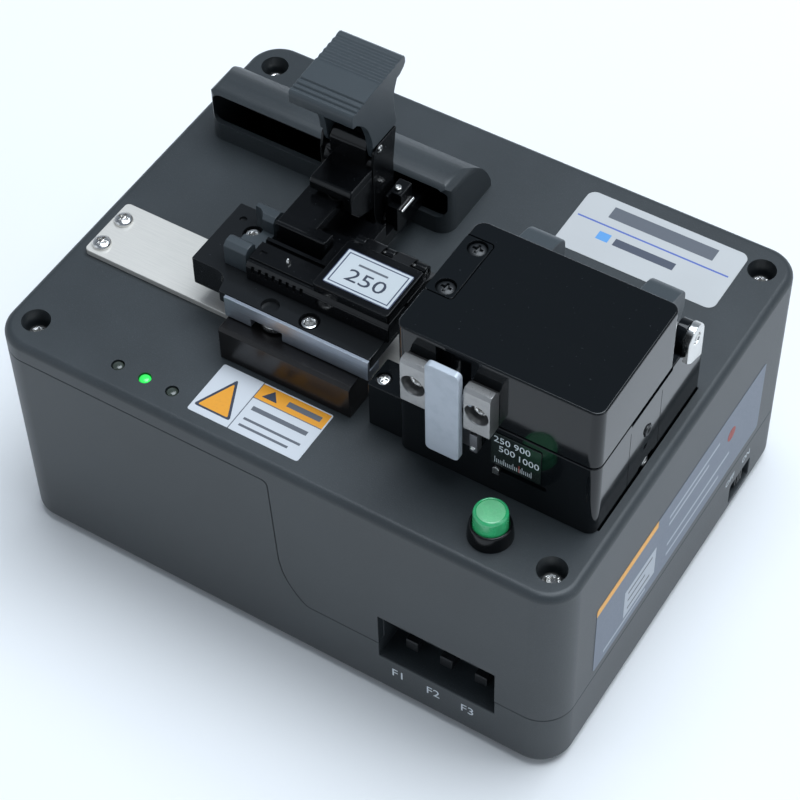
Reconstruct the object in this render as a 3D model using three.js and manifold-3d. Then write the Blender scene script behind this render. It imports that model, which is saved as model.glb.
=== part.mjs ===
// Automated coating stripper for a single glass fibre: a bench machine of about 180 x 139 x 144 mm.
// Frame: millimetres, +Z up, -Y the front with the setting keys, +X the side with the power slider.
// The origin is the middle of the footprint on the desk.
import * as THREE from "three";
import { mergeVertices } from "three/addons/utils/BufferGeometryUtils.js";
import Module from "manifold-3d";

const wasm = await Module();
wasm.setup();

// ---- Driving dimensions ----
const CASE_X = 90.3; // half width of the case
const CASE_Y = 69.4; // half depth of the case
const CASE_R = 10; // radius of the upright corners
const EDGE_R = 2.5; // radius of the top and bottom edges
const FOOT_H = 2;
const DECK = 80.65; // top face of the case
const WALL = 2.5;
const SEAM_HIGH = 74; // height of the joint line on the left of the front
const SEAM_LOW = 23.6; // height of the joint line on the right of the front
const SEAM_GAP = 0.15; // half the width of the joint line
const HOLE_X = 81.5; // case screws, half pitch
const HOLE_Y = 59.5;

const HOOD = { x0: -82, x1: 0, y0: 25.3, wall: 1.8 }; // tunnel over the drive
const DRIVE_Y = 37; // lead screw and guide shaft, in plan
const SHAFT_Z = 88;
const SCREW_Z = 66;

const SLAB = { x0: -46.5, x1: 14.3, y0: -38.2, y1: -8, z0: 96, z1: 100 }; // carriage plate
const RAIL = { x0: -31, x1: 14.5, y0: -39.4, z0: 92.8, z1: 100 };
const ARM = { x0: -30.5, x1: -13.5, side: 2.2 }; // outer width of the clamp arm
const PIVOT = [14.2, 92.6]; // y and z of the arm's pivot pin
const LEVER_AXIS = [12.3, 120]; // y and z of the thumb lever's pin
const PRESSER = { x0: -28.6, x1: -12.9, y0: -17.2, y1: 6.5, z0: 107, z1: 109.6 };
const STEM = [-20.5, 2]; // x and y of the presser's guide stem

const HEAD = { x0: 27, x1: 85.5, y0: -45.5, y1: -3.7, split: 107.3, top: 129, rear: 14.8 };
const HINGE = [6, 107.5]; // y and z of the head lid's hinge
const FIBRE_Y = -21.7; // line of the fibre through holder and head
const LATCH_Y = -50.2; // front face of the latch blocks
const LATCH_AXIS = [-48.2, 115.2]; // y and z of the latch lever's axle

const BUTTON = [62.6, -58];
const LIGHTS_X = [-52.6, -43.65, -34.7];
const LIGHTS_Y = -60.9;
const KEYS_X = [42, 53, 64];
const KEY = { size: 4, z: 21.6, front: -64.3, back: -54.5 };
const POCKET = { x0: 34.4, x1: 71.2, z0: 17.5, z1: 36.5, back: -59 };
const SWITCH = { y0: 35.5, y1: 48.5, z0: 6, z1: 14 };
const JACK = { x: 58, z: 36 };

// ---- Solids ----
// Turns a geometry into a solid that can be cut and joined.
function solid(geometry) {
  geometry.deleteAttribute("normal");
  geometry.deleteAttribute("uv");
  const merged = mergeVertices(geometry, 1e-4);
  return new wasm.Manifold(
    new wasm.Mesh({
      numProp: 3,
      vertProperties: merged.attributes.position.array,
      triVerts: new Uint32Array(merged.index.array),
    }),
  );
}

// Turns a solid back into a geometry.
function geometryOf(body) {
  const mesh = body.getMesh();
  const points = new Float32Array(mesh.numVert * 3);
  for (let i = 0; i < mesh.numVert; i++) {
    points.set(mesh.vertProperties.subarray(i * mesh.numProp, i * mesh.numProp + 3), i * 3);
  }
  const geometry = new THREE.BufferGeometry();
  geometry.setAttribute("position", new THREE.BufferAttribute(points, 3));
  geometry.setIndex(new THREE.BufferAttribute(mesh.triVerts, 1));
  const flat = geometry.toNonIndexed();
  flat.computeVertexNormals();
  return flat;
}

// Maps the extrusion's own axes onto the part's, keeping the faces outward.
const TO_AXIS = {
  x: new THREE.Matrix4().makeBasis(
    new THREE.Vector3(0, 1, 0), new THREE.Vector3(0, 0, 1), new THREE.Vector3(1, 0, 0)),
  y: new THREE.Matrix4().makeBasis(
    new THREE.Vector3(0, 0, 1), new THREE.Vector3(1, 0, 0), new THREE.Vector3(0, 1, 0)),
  z: new THREE.Matrix4(),
};

// A prism along an axis. Points are [y, z] for x, [x, z] for y and [x, y] for z.
function prism(axis, points, from, to, bevel = 0) {
  const shape = new THREE.Shape();
  points.forEach(([u, v], i) => {
    const [p, q] = axis === "y" ? [v, u] : [u, v];
    if (i) shape.lineTo(p, q);
    else shape.moveTo(p, q);
  });
  const geometry = new THREE.ExtrudeGeometry(shape, {
    depth: to - from - 2 * bevel,
    bevelEnabled: bevel > 0,
    bevelSize: bevel,
    bevelOffset: -bevel,
    bevelThickness: bevel,
    bevelSegments: 3,
  });
  geometry.translate(0, 0, from + bevel);
  geometry.applyMatrix4(TO_AXIS[axis]);
  return solid(geometry);
}

const box = (x0, x1, y0, y1, z0, z1) =>
  prism("z", [[x0, y0], [x1, y0], [x1, y1], [x0, y1]], z0, z1);

// Points of an arc, in degrees, ends included.
function arc(u, v, radius, start, end, steps = 6) {
  return Array.from({ length: steps + 1 }, (_, i) => {
    const a = ((start + ((end - start) * i) / steps) * Math.PI) / 180;
    return [u + radius * Math.cos(a), v + radius * Math.sin(a)];
  });
}

const circle = (u, v, radius, steps = 24) => arc(u, v, radius, 0, 360, steps).slice(0, -1);

const rod = (axis, u, v, radius, from, to, steps = 24) =>
  prism(axis, circle(u, v, radius, steps), from, to);

// A rectangle with round corners.
function rounded(u0, u1, v0, v1, radius, steps = 6) {
  return [
    ...arc(u1 - radius, v0 + radius, radius, -90, 0, steps),
    ...arc(u1 - radius, v1 - radius, radius, 0, 90, steps),
    ...arc(u0 + radius, v1 - radius, radius, 90, 180, steps),
    ...arc(u0 + radius, v0 + radius, radius, 180, 270, steps),
  ];
}

const roundedBox = (x0, x1, y0, y1, z0, z1, radius, bevel = 0) =>
  prism("z", rounded(x0, x1, y0, y1, radius), z0, z1, bevel);

// A turned body on an upright axis. Its profile is [radius, z] and starts and ends on the axis.
function turned(x, y, profile, steps = 32) {
  const points = profile.map(([r, z]) => new THREE.Vector2(r, z));
  const geometry = new THREE.LatheGeometry(points, steps);
  geometry.rotateX(Math.PI / 2);
  geometry.translate(x, y, 0);
  return solid(geometry);
}

const join = (first, ...others) => others.reduce((all, body) => all.add(body), first);
const cut = (first, ...others) => others.reduce((all, body) => all.subtract(body), first);

// ---- Group and materials ----
const group = new THREE.Group();

const FINISH = {
  case: [0x4b5157, 0.75, 0],
  black: [0x202225, 0.55, 0],
  gloss: [0x1b1e22, 0.25, 0],
  grey: [0x56595b, 0.5, 0.1],
  steel: [0xc9c5bd, 0.35, 0.9],
  bluesteel: [0x8b98a8, 0.3, 0.9],
  nickel: [0xd9d6d0, 0.25, 1],
  light: [0xaeb7c0, 0.4, 0.3],
  brown: [0x6b6a68, 0.4, 0.6],
  green: [0x4fd08a, 0.25, 0],
  lens: [0x39493c, 0.3, 0],
  board: [0x1f5a35, 0.6, 0],
  rubber: [0x17181a, 0.9, 0],
};

function piece(name, body, finish) {
  const [color, roughness, metalness] = FINISH[finish];
  const material = new THREE.MeshStandardMaterial({ color, roughness, metalness });
  const mesh = new THREE.Mesh(geometryOf(body), material);
  mesh.name = name;
  group.add(mesh);
}

// ---- Screws ----
// A cap screw with a hexagon socket, head up, on an upright axis. z is the underside of its head.
function capScrew(x, y, z, head, height, shank, length) {
  const body = join(
    rod("z", x, y, head / 2, z, z + height),
    rod("z", x, y, shank / 2, z - length, z + 0.1, 16),
  );
  return cut(body, rod("z", x, y, head * 0.27, z + height * 0.45, z + height + 1, 6));
}

// A screw with a domed head and a cross recess.
function panScrew(x, y, z, head, height, shank, length) {
  const r = head / 2;
  const body = turned(x, y, [
    [0, z - length], [shank / 2, z - length], [shank / 2, z], [r, z],
    [r, z + height * 0.45], [r * 0.75, z + height * 0.85], [r * 0.35, z + height], [0, z + height],
  ], 20);
  const arm = r * 0.55;
  const slot = 0.4;
  return cut(
    body,
    box(x - arm, x + arm, y - slot, y + slot, z + height * 0.35, z + height + 1),
    box(x - slot, x + slot, y - arm, y + arm, z + height * 0.35, z + height + 1),
  );
}

// ---- Case ----
const outer = () =>
  roundedBox(-CASE_X, CASE_X, -CASE_Y, CASE_Y, FOOT_H, DECK, CASE_R, EDGE_R);
const inner = () =>
  roundedBox(-CASE_X + WALL, CASE_X - WALL, -CASE_Y + WALL, CASE_Y - WALL,
    FOOT_H + WALL, DECK - WALL, CASE_R - WALL);

// Joint line between cover and base, seen from the front, shifted apart by s.
const seam = (s) => [
  [-120, SEAM_HIGH], [1, SEAM_HIGH], [2.5, 40], [3.7, 34], [6.2, 29], [8.6, 25.8],
  [11, SEAM_LOW], [120, SEAM_LOW],
].map(([x, z]) => [x + s, z + s]);

const above = () => prism("y", [...seam(SEAM_GAP), [120, 200], [-120, 200]], -100, 100);
const below = () => prism("y", [...seam(-SEAM_GAP), [120, -50], [-120, -50]], -100, 100);

const corners = [[-HOLE_X, -HOLE_Y], [HOLE_X, -HOLE_Y], [-HOLE_X, HOLE_Y], [HOLE_X, HOLE_Y]];

// Outline of the drive tunnel, seen from the side, shrunk by t. Its back slopes down to the deck.
function hoodOutline(t, floor) {
  const y = HOOD.y0 + t;
  return [
    [y, floor], [y, 97.4 - t], [y + 1.5, 98.7 - t], [31, 99.2 - t], [36, 98.2 - t],
    [40 - t * 0.4, 96 - t * 0.9], [43.8 - t * 0.7, 92.4 - t * 0.7], [47 - t * 0.9, 88 - t * 0.4],
    [49.3 - t, 83], [49.9 - t, floor],
  ];
}

const BOSS = { r: 5.6, floor: 58, seat: 73, bore: 4.15 }; // screw tubes under the deck

function upperCover() {
  let body = cut(outer(), inner()).intersect(above());
  for (const [x, y] of corners) body = body.add(rod("z", x, y, BOSS.r, BOSS.floor, DECK - 1));
  const hood = prism("x", hoodOutline(0, DECK - 1), HOOD.x0, HOOD.x1);
  body = body.add(hood.intersect(roundedBox(HOOD.x0, HOOD.x1, HOOD.y0, 56, DECK - 1, 100, 4.5)));
  // Ribs under the deck that hold the lead screw's free end and the motor.
  body = body.add(box(-86, -83, 28, 46, 57, DECK - 1));
  body = body.add(box(2, 5, 24, 50, 52, DECK - 1));
  for (const [x, y] of corners) {
    body = cut(body, rod("z", x, y, BOSS.bore, BOSS.seat, DECK + 1),
      rod("z", x, y, 1.8, BOSS.floor - 1, BOSS.seat + 1, 16));
  }
  const inX = [HOOD.x0 + HOOD.wall, HOOD.x1 - HOOD.wall];
  body = cut(
    body,
    prism("x", hoodOutline(HOOD.wall, DECK - 4), ...inX), // tunnel and the opening below it
    prism("y", rounded(inX[0], -1.1, 87, 97.7, 3, 4), HOOD.y0 - 1, HOOD.y0 + 4.2), // slot along the tunnel
    rod("x", DRIVE_Y, SCREW_Z, 2.3, -87, -82, 16),
    rod("x", DRIVE_Y, SCREW_Z, 4.3, 1, 6),
    box(HEAD.x0 + 2.5, 85.9, HEAD.y0 + 2.5, 12.5, DECK - 4, DECK + 1), // opening under the head
    box(POCKET.x0, POCKET.x1, -72, -66, 10, POCKET.z1),
    rod("z", ...BUTTON, 5.5, DECK - 4, DECK + 1),
    ...LIGHTS_X.map((x) => rod("z", x, LIGHTS_Y, 1.9, DECK - 4, DECK + 1, 20)),
    ...[-17.8, -28.2].map((y) => rod("z", -81.6, y, 1.6, DECK - 4, DECK + 1, 16)),
    box(JACK.x - 6, JACK.x + 6, 65, 72, JACK.z - 5, JACK.z + 5),
  );
  return body;
}

const BOARD = { x0: -75, x1: -8, y0: -50, y1: 18, z: 20 };
const boardPosts = [[-70, -45], [-13, -45], [-70, 13], [-13, 13]];

function lowerBase() {
  let body = cut(outer(), inner()).intersect(below());
  for (const [x, y] of corners) {
    body = body.add(rod("z", x, y, 4.6, FOOT_H + 1, BOSS.floor - 0.3));
  }
  for (const [x, y] of boardPosts) body = body.add(rod("z", x, y, 3, FOOT_H + 1, BOARD.z, 16));
  // Box behind the key pocket; above the joint line it stands clear of the cover's wall.
  const { x0, x1, z0, z1, back } = POCKET;
  body = join(
    body,
    box(x0 - 2, x1 + 2, -66.4, back + 2, z0 - 2, z1 + 2),
    box(x0 - 2, x1 + 2, -68.5, -66, z0 - 2, SEAM_LOW - SEAM_GAP),
  );
  const hole = KEY.size / 2 + 0.3;
  body = cut(
    body,
    box(x0, x1, -72, back, z0, z1),
    ...KEYS_X.map((x) => box(x - hole, x + hole, back - 1, back + 3, KEY.z - hole, KEY.z + hole)),
    ...corners.map(([x, y]) => rod("z", x, y, 1.8, 40, BOSS.floor + 1, 16)),
    box(87, 92, SWITCH.y0, SWITCH.y1, SWITCH.z0, SWITCH.z1), // slot of the power slider
  );
  return body;
}

piece("upper_cover", upperCover(), "case");
piece("lower_base", lowerBase(), "case");
corners.forEach(([x, y], i) => {
  const number = i + 1;
  piece("case_screw_" + number, capScrew(x, y, BOSS.seat, 5.5, 3, 3, 22), "nickel");
  const inset = 6;
  const foot = rod("z", x - Math.sign(x) * inset, y - Math.sign(y) * inset, 6, 0, FOOT_H);
  piece("foot_" + number, foot, "rubber");
});
LIGHTS_X.forEach((x, i) => {
  const body = join(
    rod("z", x, LIGHTS_Y, 1.7, DECK - 7, DECK - 0.3, 20),
    rod("z", x, LIGHTS_Y, 2.6, DECK - 7, DECK - WALL - 0.2, 20),
  );
  piece("light_pipe_" + (i + 1), body, "lens");
});

// ---- Start button ----
function buttonBezel() {
  const [x, y] = BUTTON;
  const body = turned(x, y, [
    [0, 71], [5.3, 71], [5.3, DECK], [6.2, DECK], [6, 83.4], [5.6, 85.6], [5.2, 85.8], [0, 85.8],
  ]);
  return cut(body, rod("z", x, y, 4.95, 70, 87, 32));
}

function buttonCap() {
  const [x, y] = BUTTON;
  return turned(x, y, [
    [0, 73], [4.65, 73], [4.65, 89.9], [4.3, 90.65], [3.95, 90.65], [3.8, 90.35], [0, 90.35],
  ]);
}
piece("button_bezel", buttonBezel(), "black");
piece("button_cap", buttonCap(), "green");

// ---- Setting keys, power slider, jack, board ----
KEYS_X.forEach((x, i) => {
  const h = KEY.size / 2;
  const body = join(
    box(x - h, x + h, KEY.front, KEY.back, KEY.z - h, KEY.z + h),
    box(x - h - 1, x + h + 1, KEY.back - 1.2, KEY.back, KEY.z - h - 1, KEY.z + h + 1),
  );
  piece("key_f" + (i + 1), body, "black");
});

const sliderZ = (SWITCH.z0 + SWITCH.z1) / 2;
piece("power_slider", join(
  box(87.2, 89.8, 41, 45.6, sliderZ - 2.8, sliderZ + 2.8),
  box(85.6, 87.4, 32, 52, sliderZ - 5.2, sliderZ + 5.2),
), "black");
piece("dc_jack", cut(
  join(box(JACK.x - 5.7, JACK.x + 5.7, 57, 69, JACK.z - 4.7, JACK.z + 4.7),
    box(JACK.x - 8, JACK.x + 8, 62, 66.6, JACK.z - 7, JACK.z + 7)),
  rod("y", JACK.x, JACK.z, 3.2, 60, 72),
), "black");
piece("circuit_board", box(BOARD.x0, BOARD.x1, BOARD.y0, BOARD.y1, BOARD.z, BOARD.z + 1.6), "board");

// ---- Running plate and guide ----
const PLATE = { x0: -85, x1: 14, y0: -32.2, y1: -11.3, z1: DECK + 2 };
const plateScrewsY = [-17.8, -28.2];
function steelPlate() {
  const body = roundedBox(PLATE.x0, PLATE.x1, PLATE.y0, PLATE.y1, DECK, PLATE.z1, 1.5);
  return cut(body, ...plateScrewsY.map((y) => rod("z", -81.6, y, 1.6, DECK - 1, PLATE.z1 + 1, 16)));
}
piece("steel_plate", steelPlate(), "steel");
plateScrewsY.forEach((y, i) => {
  piece("plate_screw_" + (i + 1), panScrew(-81.6, y, PLATE.z1, 5.5, 1.7, 2.6, 7), "nickel");
});

const GUIDE = { x0: -30.3, x1: 11.5, y0: -44.2, y1: -32.8, top: 92.4 };
function guideBlock() {
  const { y0, y1, top } = GUIDE;
  const outline = [[y0, DECK], [y1, DECK], [y1, top], [y0 + 1, top], [y0, top - 0.8]];
  return prism("x", outline, GUIDE.x0, GUIDE.x1);
}
piece("guide_block", guideBlock(), "black");

// ---- Carriage ----
const carriageScrews = [[-37, -16.2], [-6.5, -34.9]];
function carriagePlate() {
  const { x0, x1, y0, y1, z0, z1 } = SLAB;
  const outline = [
    [x0, y1], [x0, -32], [-38.5, -32], ...arc(-38, -36, 4, 80, 20, 4), [-33.6, y0], [x1, y0],
    [x1, -10], [x1 - 2, y1],
  ];
  let body = prism("z", outline, z0, z1);
  body = body.add(box(x0, -35.5, -32, y1, 90, z0 + 1));
  for (const [x, y] of carriageScrews) {
    body = cut(body, rod("z", x, y, 2.95, z0 + 1.2, z1 + 1), rod("z", x, y, 1.4, 80, z1, 16));
  }
  return body;
}
piece("carriage_plate", carriagePlate(), "brown");
carriageScrews.forEach(([x, y], i) => {
  piece("carriage_screw_" + (i + 1), capScrew(x, y, SLAB.z0 + 1.2, 4.5, 2.5, 2.4, 4), "nickel");
});

const ROLLER = { x: -17.6, y: -34.6, r: 4.5, z0: 93, z1: 95.4 };
function carriageRail() {
  const { x0, x1, y0, z0, z1 } = RAIL;
  const face = y0 + 1;
  const outline = [[y0, z0], [-34, z0], [-34, 95.9], [face, 95.9], [face, z1], [y0, z1]];
  return cut(
    prism("x", outline, x0, x1),
    box(ROLLER.x - 5, ROLLER.x + 5, y0 - 1, -30, z0 - 1, 95.9),
    rod("z", -6.5, -34.9, 1.6, z0 - 1, 97, 16),
  );
}
piece("carriage_rail", carriageRail(), "bluesteel");
piece("guide_roller", join(
  rod("z", ROLLER.x, ROLLER.y, ROLLER.r, ROLLER.z0, ROLLER.z1, 32),
  rod("z", ROLLER.x, ROLLER.y, 1.5, ROLLER.z0, SLAB.z0, 16),
), "nickel");

// ---- Drive ----
function driveBracket() {
  let body = join(
    box(-31, -9.5, -12, 8, 91.6, SLAB.z0), // tongue under the carriage plate
    box(-31, -9.5, 5, 41, 87.6, 91.6), // plate through the tunnel's slot
    box(-28, -6, 32.5, 41, 59, 91.6), // block on the shaft and the lead screw
    box(-27.8, -16.2, 9.8, 18.6, 90, 97), // lug of the clamp arm
    box(-12.6, -8.6, 12.5, 20.5, 90, 102.4), // post beside the clamp arm
  );
  body = cut(
    body,
    box(-32, -27.8, 7, 21.5, 85, 98),
    box(-16.2, -12.8, 7, 21.5, 85, 98),
    rod("x", ...PIVOT, 1.6, -32, -12, 16),
    rod("x", DRIVE_Y, SHAFT_Z, 2.8, -40, 0),
    rod("x", DRIVE_Y, SCREW_Z, 3.3, -40, 0),
  );
  return body;
}
piece("drive_bracket", driveBracket(), "black");
piece("guide_shaft", rod("x", DRIVE_Y, SHAFT_Z, 2.5, HOOD.x0 + HOOD.wall, HOOD.x1 - HOOD.wall), "nickel");
piece("lead_screw", join(
  rod("x", DRIVE_Y, SCREW_Z, 2, -86, -82, 16),
  rod("x", DRIVE_Y, SCREW_Z, 3, -82.6, 3),
), "steel");
piece("drive_motor", join(
  rod("x", DRIVE_Y, SCREW_Z, 4, 3.2, 6),
  prism("x", rounded(DRIVE_Y - 10.5, DRIVE_Y + 10.5, SCREW_Z - 12, SCREW_Z + 12, 3, 3), 5, 32),
  rod("x", DRIVE_Y, SCREW_Z, 3, 31, 35),
), "grey");

// ---- Clamp arm ----
const CHEEK = 0.8; // outer cheeks of the arm beside the thumb lever
function clampArm() {
  const { x0, x1, side } = ARM;
  const [py, pz] = PIVOT;
  const outline = [
    ...arc(py, pz, 4.4, 180, 360, 10), [19, 97], [19, 110], [20.6, 121.2], [14, 118.2], [9.8, 116.2],
    [8.6, 112], [8.6, 97],
  ];
  let body = prism("x", outline, x0, x1);
  body = body.add(box(x0 + side + 0.4, x1 - side - 0.4, 9.4, 17, 112, 124.4));
  const cheek = [[8.6, 112], [19, 112], [20.7, 121.8], [12, 121.8], [9.6, 120.6], [8.6, 116]];
  const shelf = [
    [12, 112.2], [-1.2, 112.2], [-1.2, 111.2], [-2.5, 111.2], [-2.5, 114], [-1.4, 115], [12, 115],
  ];
  const skirt = [[-1.2, 111.4], [-1.2, 107], [1.6, 102.8], [8.8, 100], [8.8, 111.4]];
  body = join(
    body,
    prism("x", cheek, x0, x0 + CHEEK), prism("x", cheek, x1 - CHEEK, x1),
    prism("x", shelf, -27, -13.8), prism("x", skirt, -16.4, -13.8),
  );
  return cut(
    body,
    box(x0 + side + 0.1, x1 - side - 0.1, 5, 22, 86, 98.6), // fork over the bracket's lug
    rod("x", py, pz, 1.6, x0 - 1, x1 + 1, 16),
    rod("x", ...LEVER_AXIS, 1.4, x0 - 1, x1 + 1, 16),
    rod("z", ...STEM, 1.8, 110, 116, 16),
  );
}
piece("clamp_arm", clampArm(), "grey");
piece("pivot_pin", rod("x", ...PIVOT, 1.4, ARM.x0 - 0.4, ARM.x1 + 0.4, 16), "nickel");

function thumbLever() {
  const { x0, x1, side } = ARM;
  const web = [
    [0.5, 139], [23, 140.5], [20.6, 137], [19.8, 134], [20.6, 128], [21.3, 123], [14.2, 119.2],
    [12.3, 118], [10.2, 117.4], [9.4, 120], [8.2, 127], [6.4, 132], [3.4, 135.4],
  ];
  const pad = [
    [-0.4, 137.6], [-0.4, 141.4], [0.2, 142], [24.6, 143.7], [26, 142.4], [26, 140.4], [23.6, 138.6],
    [18, 138], [3, 137],
  ];
  const cheek = (a, b) => prism("x", web, a, b);
  let body = join(
    cheek(x0, x0 + side), cheek(x1 - side, x1),
    prism("x", pad, -33.5, ARM.x1),
  );
  // Grip grooves across the pad.
  const groove = (y, w, d) => {
    const z = 142 + (1.7 * y) / 24.6;
    return prism("x", [[y - w, z + 0.2], [y, z - d], [y + w, z + 0.2]], -34, -13);
  };
  for (const y of [14.2, 16.4, 18.6, 20.8, 23]) body = body.subtract(groove(y, 0.9, 0.6));
  for (const y of [1.6, 3.8, 6]) body = body.subtract(groove(y, 0.6, 0.8));
  // Rebates that let the arm's cheeks lie flush over the lever's lugs.
  const rebate = [[6, 110], [24, 110], [24, 122.6], [12, 122.6], [6, 122.6]];
  const depth = CHEEK + 0.2;
  body = cut(body, prism("x", rebate, x0 - 1, x0 + depth), prism("x", rebate, x1 - depth, x1 + 1));
  return cut(body, rod("x", ...LEVER_AXIS, 1.4, x0 - 1, x1 + 1, 16));
}
piece("thumb_lever", thumbLever(), "grey");
piece("lever_pin", rod("x", ...LEVER_AXIS, 1.2, ARM.x0 - 0.3, ARM.x1 + 0.3, 16), "nickel");

function presserPlate() {
  const { x0, x1, y0, y1, z0, z1 } = PRESSER;
  const block = [[y0, 102.4], [-12.6, 102.4], [-12.6, z1], [-15.6, z1 + 0.4], [y0 + 0.4, z1 + 0.4], [y0, z1]];
  return join(
    prism("x", [[y1, z0], [y1, z1], [-13, z1], [-13, z0]], x0, -17.6),
    prism("x", block, x0, x1),
    rod("z", ...STEM, 1.5, z1 - 0.5, 115.4, 16),
  );
}
piece("presser_plate", presserPlate(), "black");

class Coil extends THREE.Curve {
  constructor(radius, rise, turns) {
    super();
    Object.assign(this, { radius, rise, turns });
  }
  getPoint(t, target = new THREE.Vector3()) {
    const a = t * this.turns * 2 * Math.PI;
    return target.set(this.radius * Math.cos(a), this.radius * Math.sin(a), this.rise * t);
  }
}

function presserSpring() {
  const wire = new THREE.Shape();
  circle(0, 0, 0.32, 6).forEach(([u, v], i) => (i ? wire.lineTo(u, v) : wire.moveTo(u, v)));
  const path = new Coil(2.7, 1.6, 2);
  const geometry = new THREE.ExtrudeGeometry(wire, { steps: 40, extrudePath: path });
  geometry.translate(STEM[0], STEM[1], PRESSER.z1 + 0.4);
  return solid(geometry);
}
piece("presser_spring", presserSpring(), "nickel");

// ---- Fibre holder ----
const HOLDER = { x0: -29.3, x1: 15.5, y0: -30.8, y1: -5.5, z1: 106.4 };
const LID = { x0: -8.2, x1: 15.3, y0: -30.4, y1: -12.2, z0: 106.8, z1: 110 };
const LID_AXIS = [-8.6, 106]; // y and z of the holder lid's hinge
const knuckles = [[-4.5, 1], [4.6, 10.2]];

function cordGuide() {
  const [x0, x1] = [-37.6, -30.3];
  const body = join(
    box(x0, x1, -29, -10.4, SLAB.z1, 102.6),
    box(x0, x1, -29, -24.2, 102, 108),
    box(x0, x1, -15.6, -10.4, 102, 108),
  );
  return cut(body, rod("z", ...carriageScrews[0], 3.1, SLAB.z1 - 1, 109, 24));
}
piece("cord_guide", cordGuide(), "grey");

function holderBody() {
  const { x0, x1, y0, y1, z1 } = HOLDER;
  const outline = [[y0, SLAB.z1], [y1, SLAB.z1], [y1, z1 - 3.4], [-12, z1], [y0 + 1.2, z1], [y0, z1 - 1.2]];
  let body = prism("x", outline, x0, x1);
  body = body.add(box(x0, LID.x0 - 0.6, y0 + 2, -22.4, z1 - 0.5, 107));
  body = body.subtract(box(x0 - 1, PRESSER.x1 + 0.6, -19.8, 0, 101.8, 108)); // room for the presser
  const groove = box(x0 - 1, x1 + 1, FIBRE_Y - 0.8, FIBRE_Y + 0.8, 105.2, 108);
  const [hy, hz] = LID_AXIS;
  body = join(body, ...[[-8, -5], [1.5, 4.1], [10.7, 14]].map(([a, b]) =>
    prism("x", [...arc(hy, hz, 1.9, 0, 180, 8), [hy - 1.9, 103], [hy + 1.9, 103]], a, b)));
  return cut(
    body,
    groove,
    ...knuckles.map(([a, b]) => rod("x", hy, hz, 2.7, a - 0.4, b + 0.4)),
    ...knuckles.map(([a, b]) => box(a - 0.4, b + 0.4, hy - 5, hy, hz - 1.2, hz + 4)),
    rod("x", hy, hz, 1.05, -9, 15, 12),
  );
}
piece("holder_body", holderBody(), "black");

function holderLid() {
  const { x0, x1, y0, y1, z0, z1 } = LID;
  const [hy, hz] = LID_AXIS;
  const outline = [[y0, z0], [y1, z0], [y1, z1], [y0 + 1.8, z1], [y0, z1 - 1.6]];
  let body = prism("x", outline, x0, x1);
  for (const [a, b] of knuckles) {
    const lug = [[y1 - 1, z0 + 0.4], [hy - 2, z0], ...arc(hy, hz, 2.2, 200, 450, 12), [y1 - 1, z0 + 2.6]];
    body = body.add(prism("x", lug, a, b));
  }
  return cut(body, rod("x", hy, hz, 1.05, -9, 15, 12));
}
piece("holder_lid", holderLid(), "grey");
piece("holder_hinge_pin", rod("x", ...LID_AXIS, 0.9, -7.8, 13.8, 12), "nickel");

// ---- Stripping head ----
const CAVITY = { x0: 35, x1: 72, y0: -32, y1: -12, floor: 88, roof: 118 };
const lugs = [[33, 43], [69, 78.5]];

function headBase() {
  const { x0, x1, y0, split, rear } = HEAD;
  const [hy, hz] = HINGE;
  const floor = DECK;
  let body = prism("z", rounded(x0, x1, y0, rear, 3, 4), floor, split);
  // Behind the lid the top falls away towards the back.
  body = cut(body, prism("x", [[-1.6, split + 1], [-1.6, split - 0.3], [13.6, 93], [16, 92], [16, split + 1]],
    x0 - 1, x1 + 1));
  body = join(
    body,
    roundedBox(x0 + 4, 83, y0 + 4, 10.5, 62, floor + 1, 2), // plug through the deck
    box(16.6, x0 + 4, -43, -33, floor, 97), // step beside the carriage
    ...[[46, 66.5], [81, 84]].map(([a, b]) =>
      prism("x", [...arc(hy, hz, 4, 0, 180, 10), [hy - 4, 95], [hy + 4, 95]], a, b)),
  );
  return cut(
    body,
    ...lugs.map(([a, b]) => rod("x", hy, hz, 12.4, a - 0.5, b + 0.5, 32)),
    box(CAVITY.x0, CAVITY.x1, CAVITY.y0, CAVITY.y1, CAVITY.floor, split + 1),
    box(x0 - 1, CAVITY.x0 + 1, FIBRE_Y - 1.5, FIBRE_Y + 1.5, 105, split + 1), // entry groove
    rod("x", hy, hz, 2.3, x0 - 1, x1 + 1, 20),
    box(56, 71.5, y0 - 1, y0 + 3.5, 90.1, 91.7), // slot of the gap pointer
  );
}
piece("head_base", headBase(), "gloss");

function headLid() {
  const { x0, x1, y0, y1, split, top } = HEAD;
  const [hy, hz] = HINGE;
  const z0 = split + 0.3;
  let body = prism("z", rounded(x0, x1, y0, y1, 3, 4), z0, top, 0.6);
  const lug = [
    [y1 - 1, z0 + 1.4], [y1 - 1, 119], [4, 117.4], [11.6, 115.6], [14.2, 113.4], [14.4, 107],
    [11.4, 102.6], [6, 101], [0.4, 103.6], [-2, z0 + 1.2],
  ];
  for (const [a, b] of lugs) body = body.add(prism("x", lug, a, b));
  return cut(
    body,
    box(39, 49.3, y0 - 1, y0 + 3.6, z0 - 1, 127.7), // recess behind the latch lever
    box(CAVITY.x0, CAVITY.x1, CAVITY.y0, CAVITY.y1, z0 - 1, CAVITY.roof),
    box(x0 - 1, CAVITY.x0 + 1, FIBRE_Y - 1.5, FIBRE_Y + 1.5, z0 - 1, z0 + 1.4),
    box(x0 - 1, 35.4, -31.6, -9.6, top - 1.7, top + 1), // seat of the entry plate
    ...entryScrews.map(([x, y]) => rod("z", x, y, 1.4, top - 9, top, 16)),
    rod("x", hy, hz, 2.3, x0 - 1, x1 + 1, 20),
    ...latchBlocks.map(([a, b]) => rod("y", (a + b) / 2, 114.6, 1.3, y0 - 1, y0 + 9, 16)),
  );
}

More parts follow.
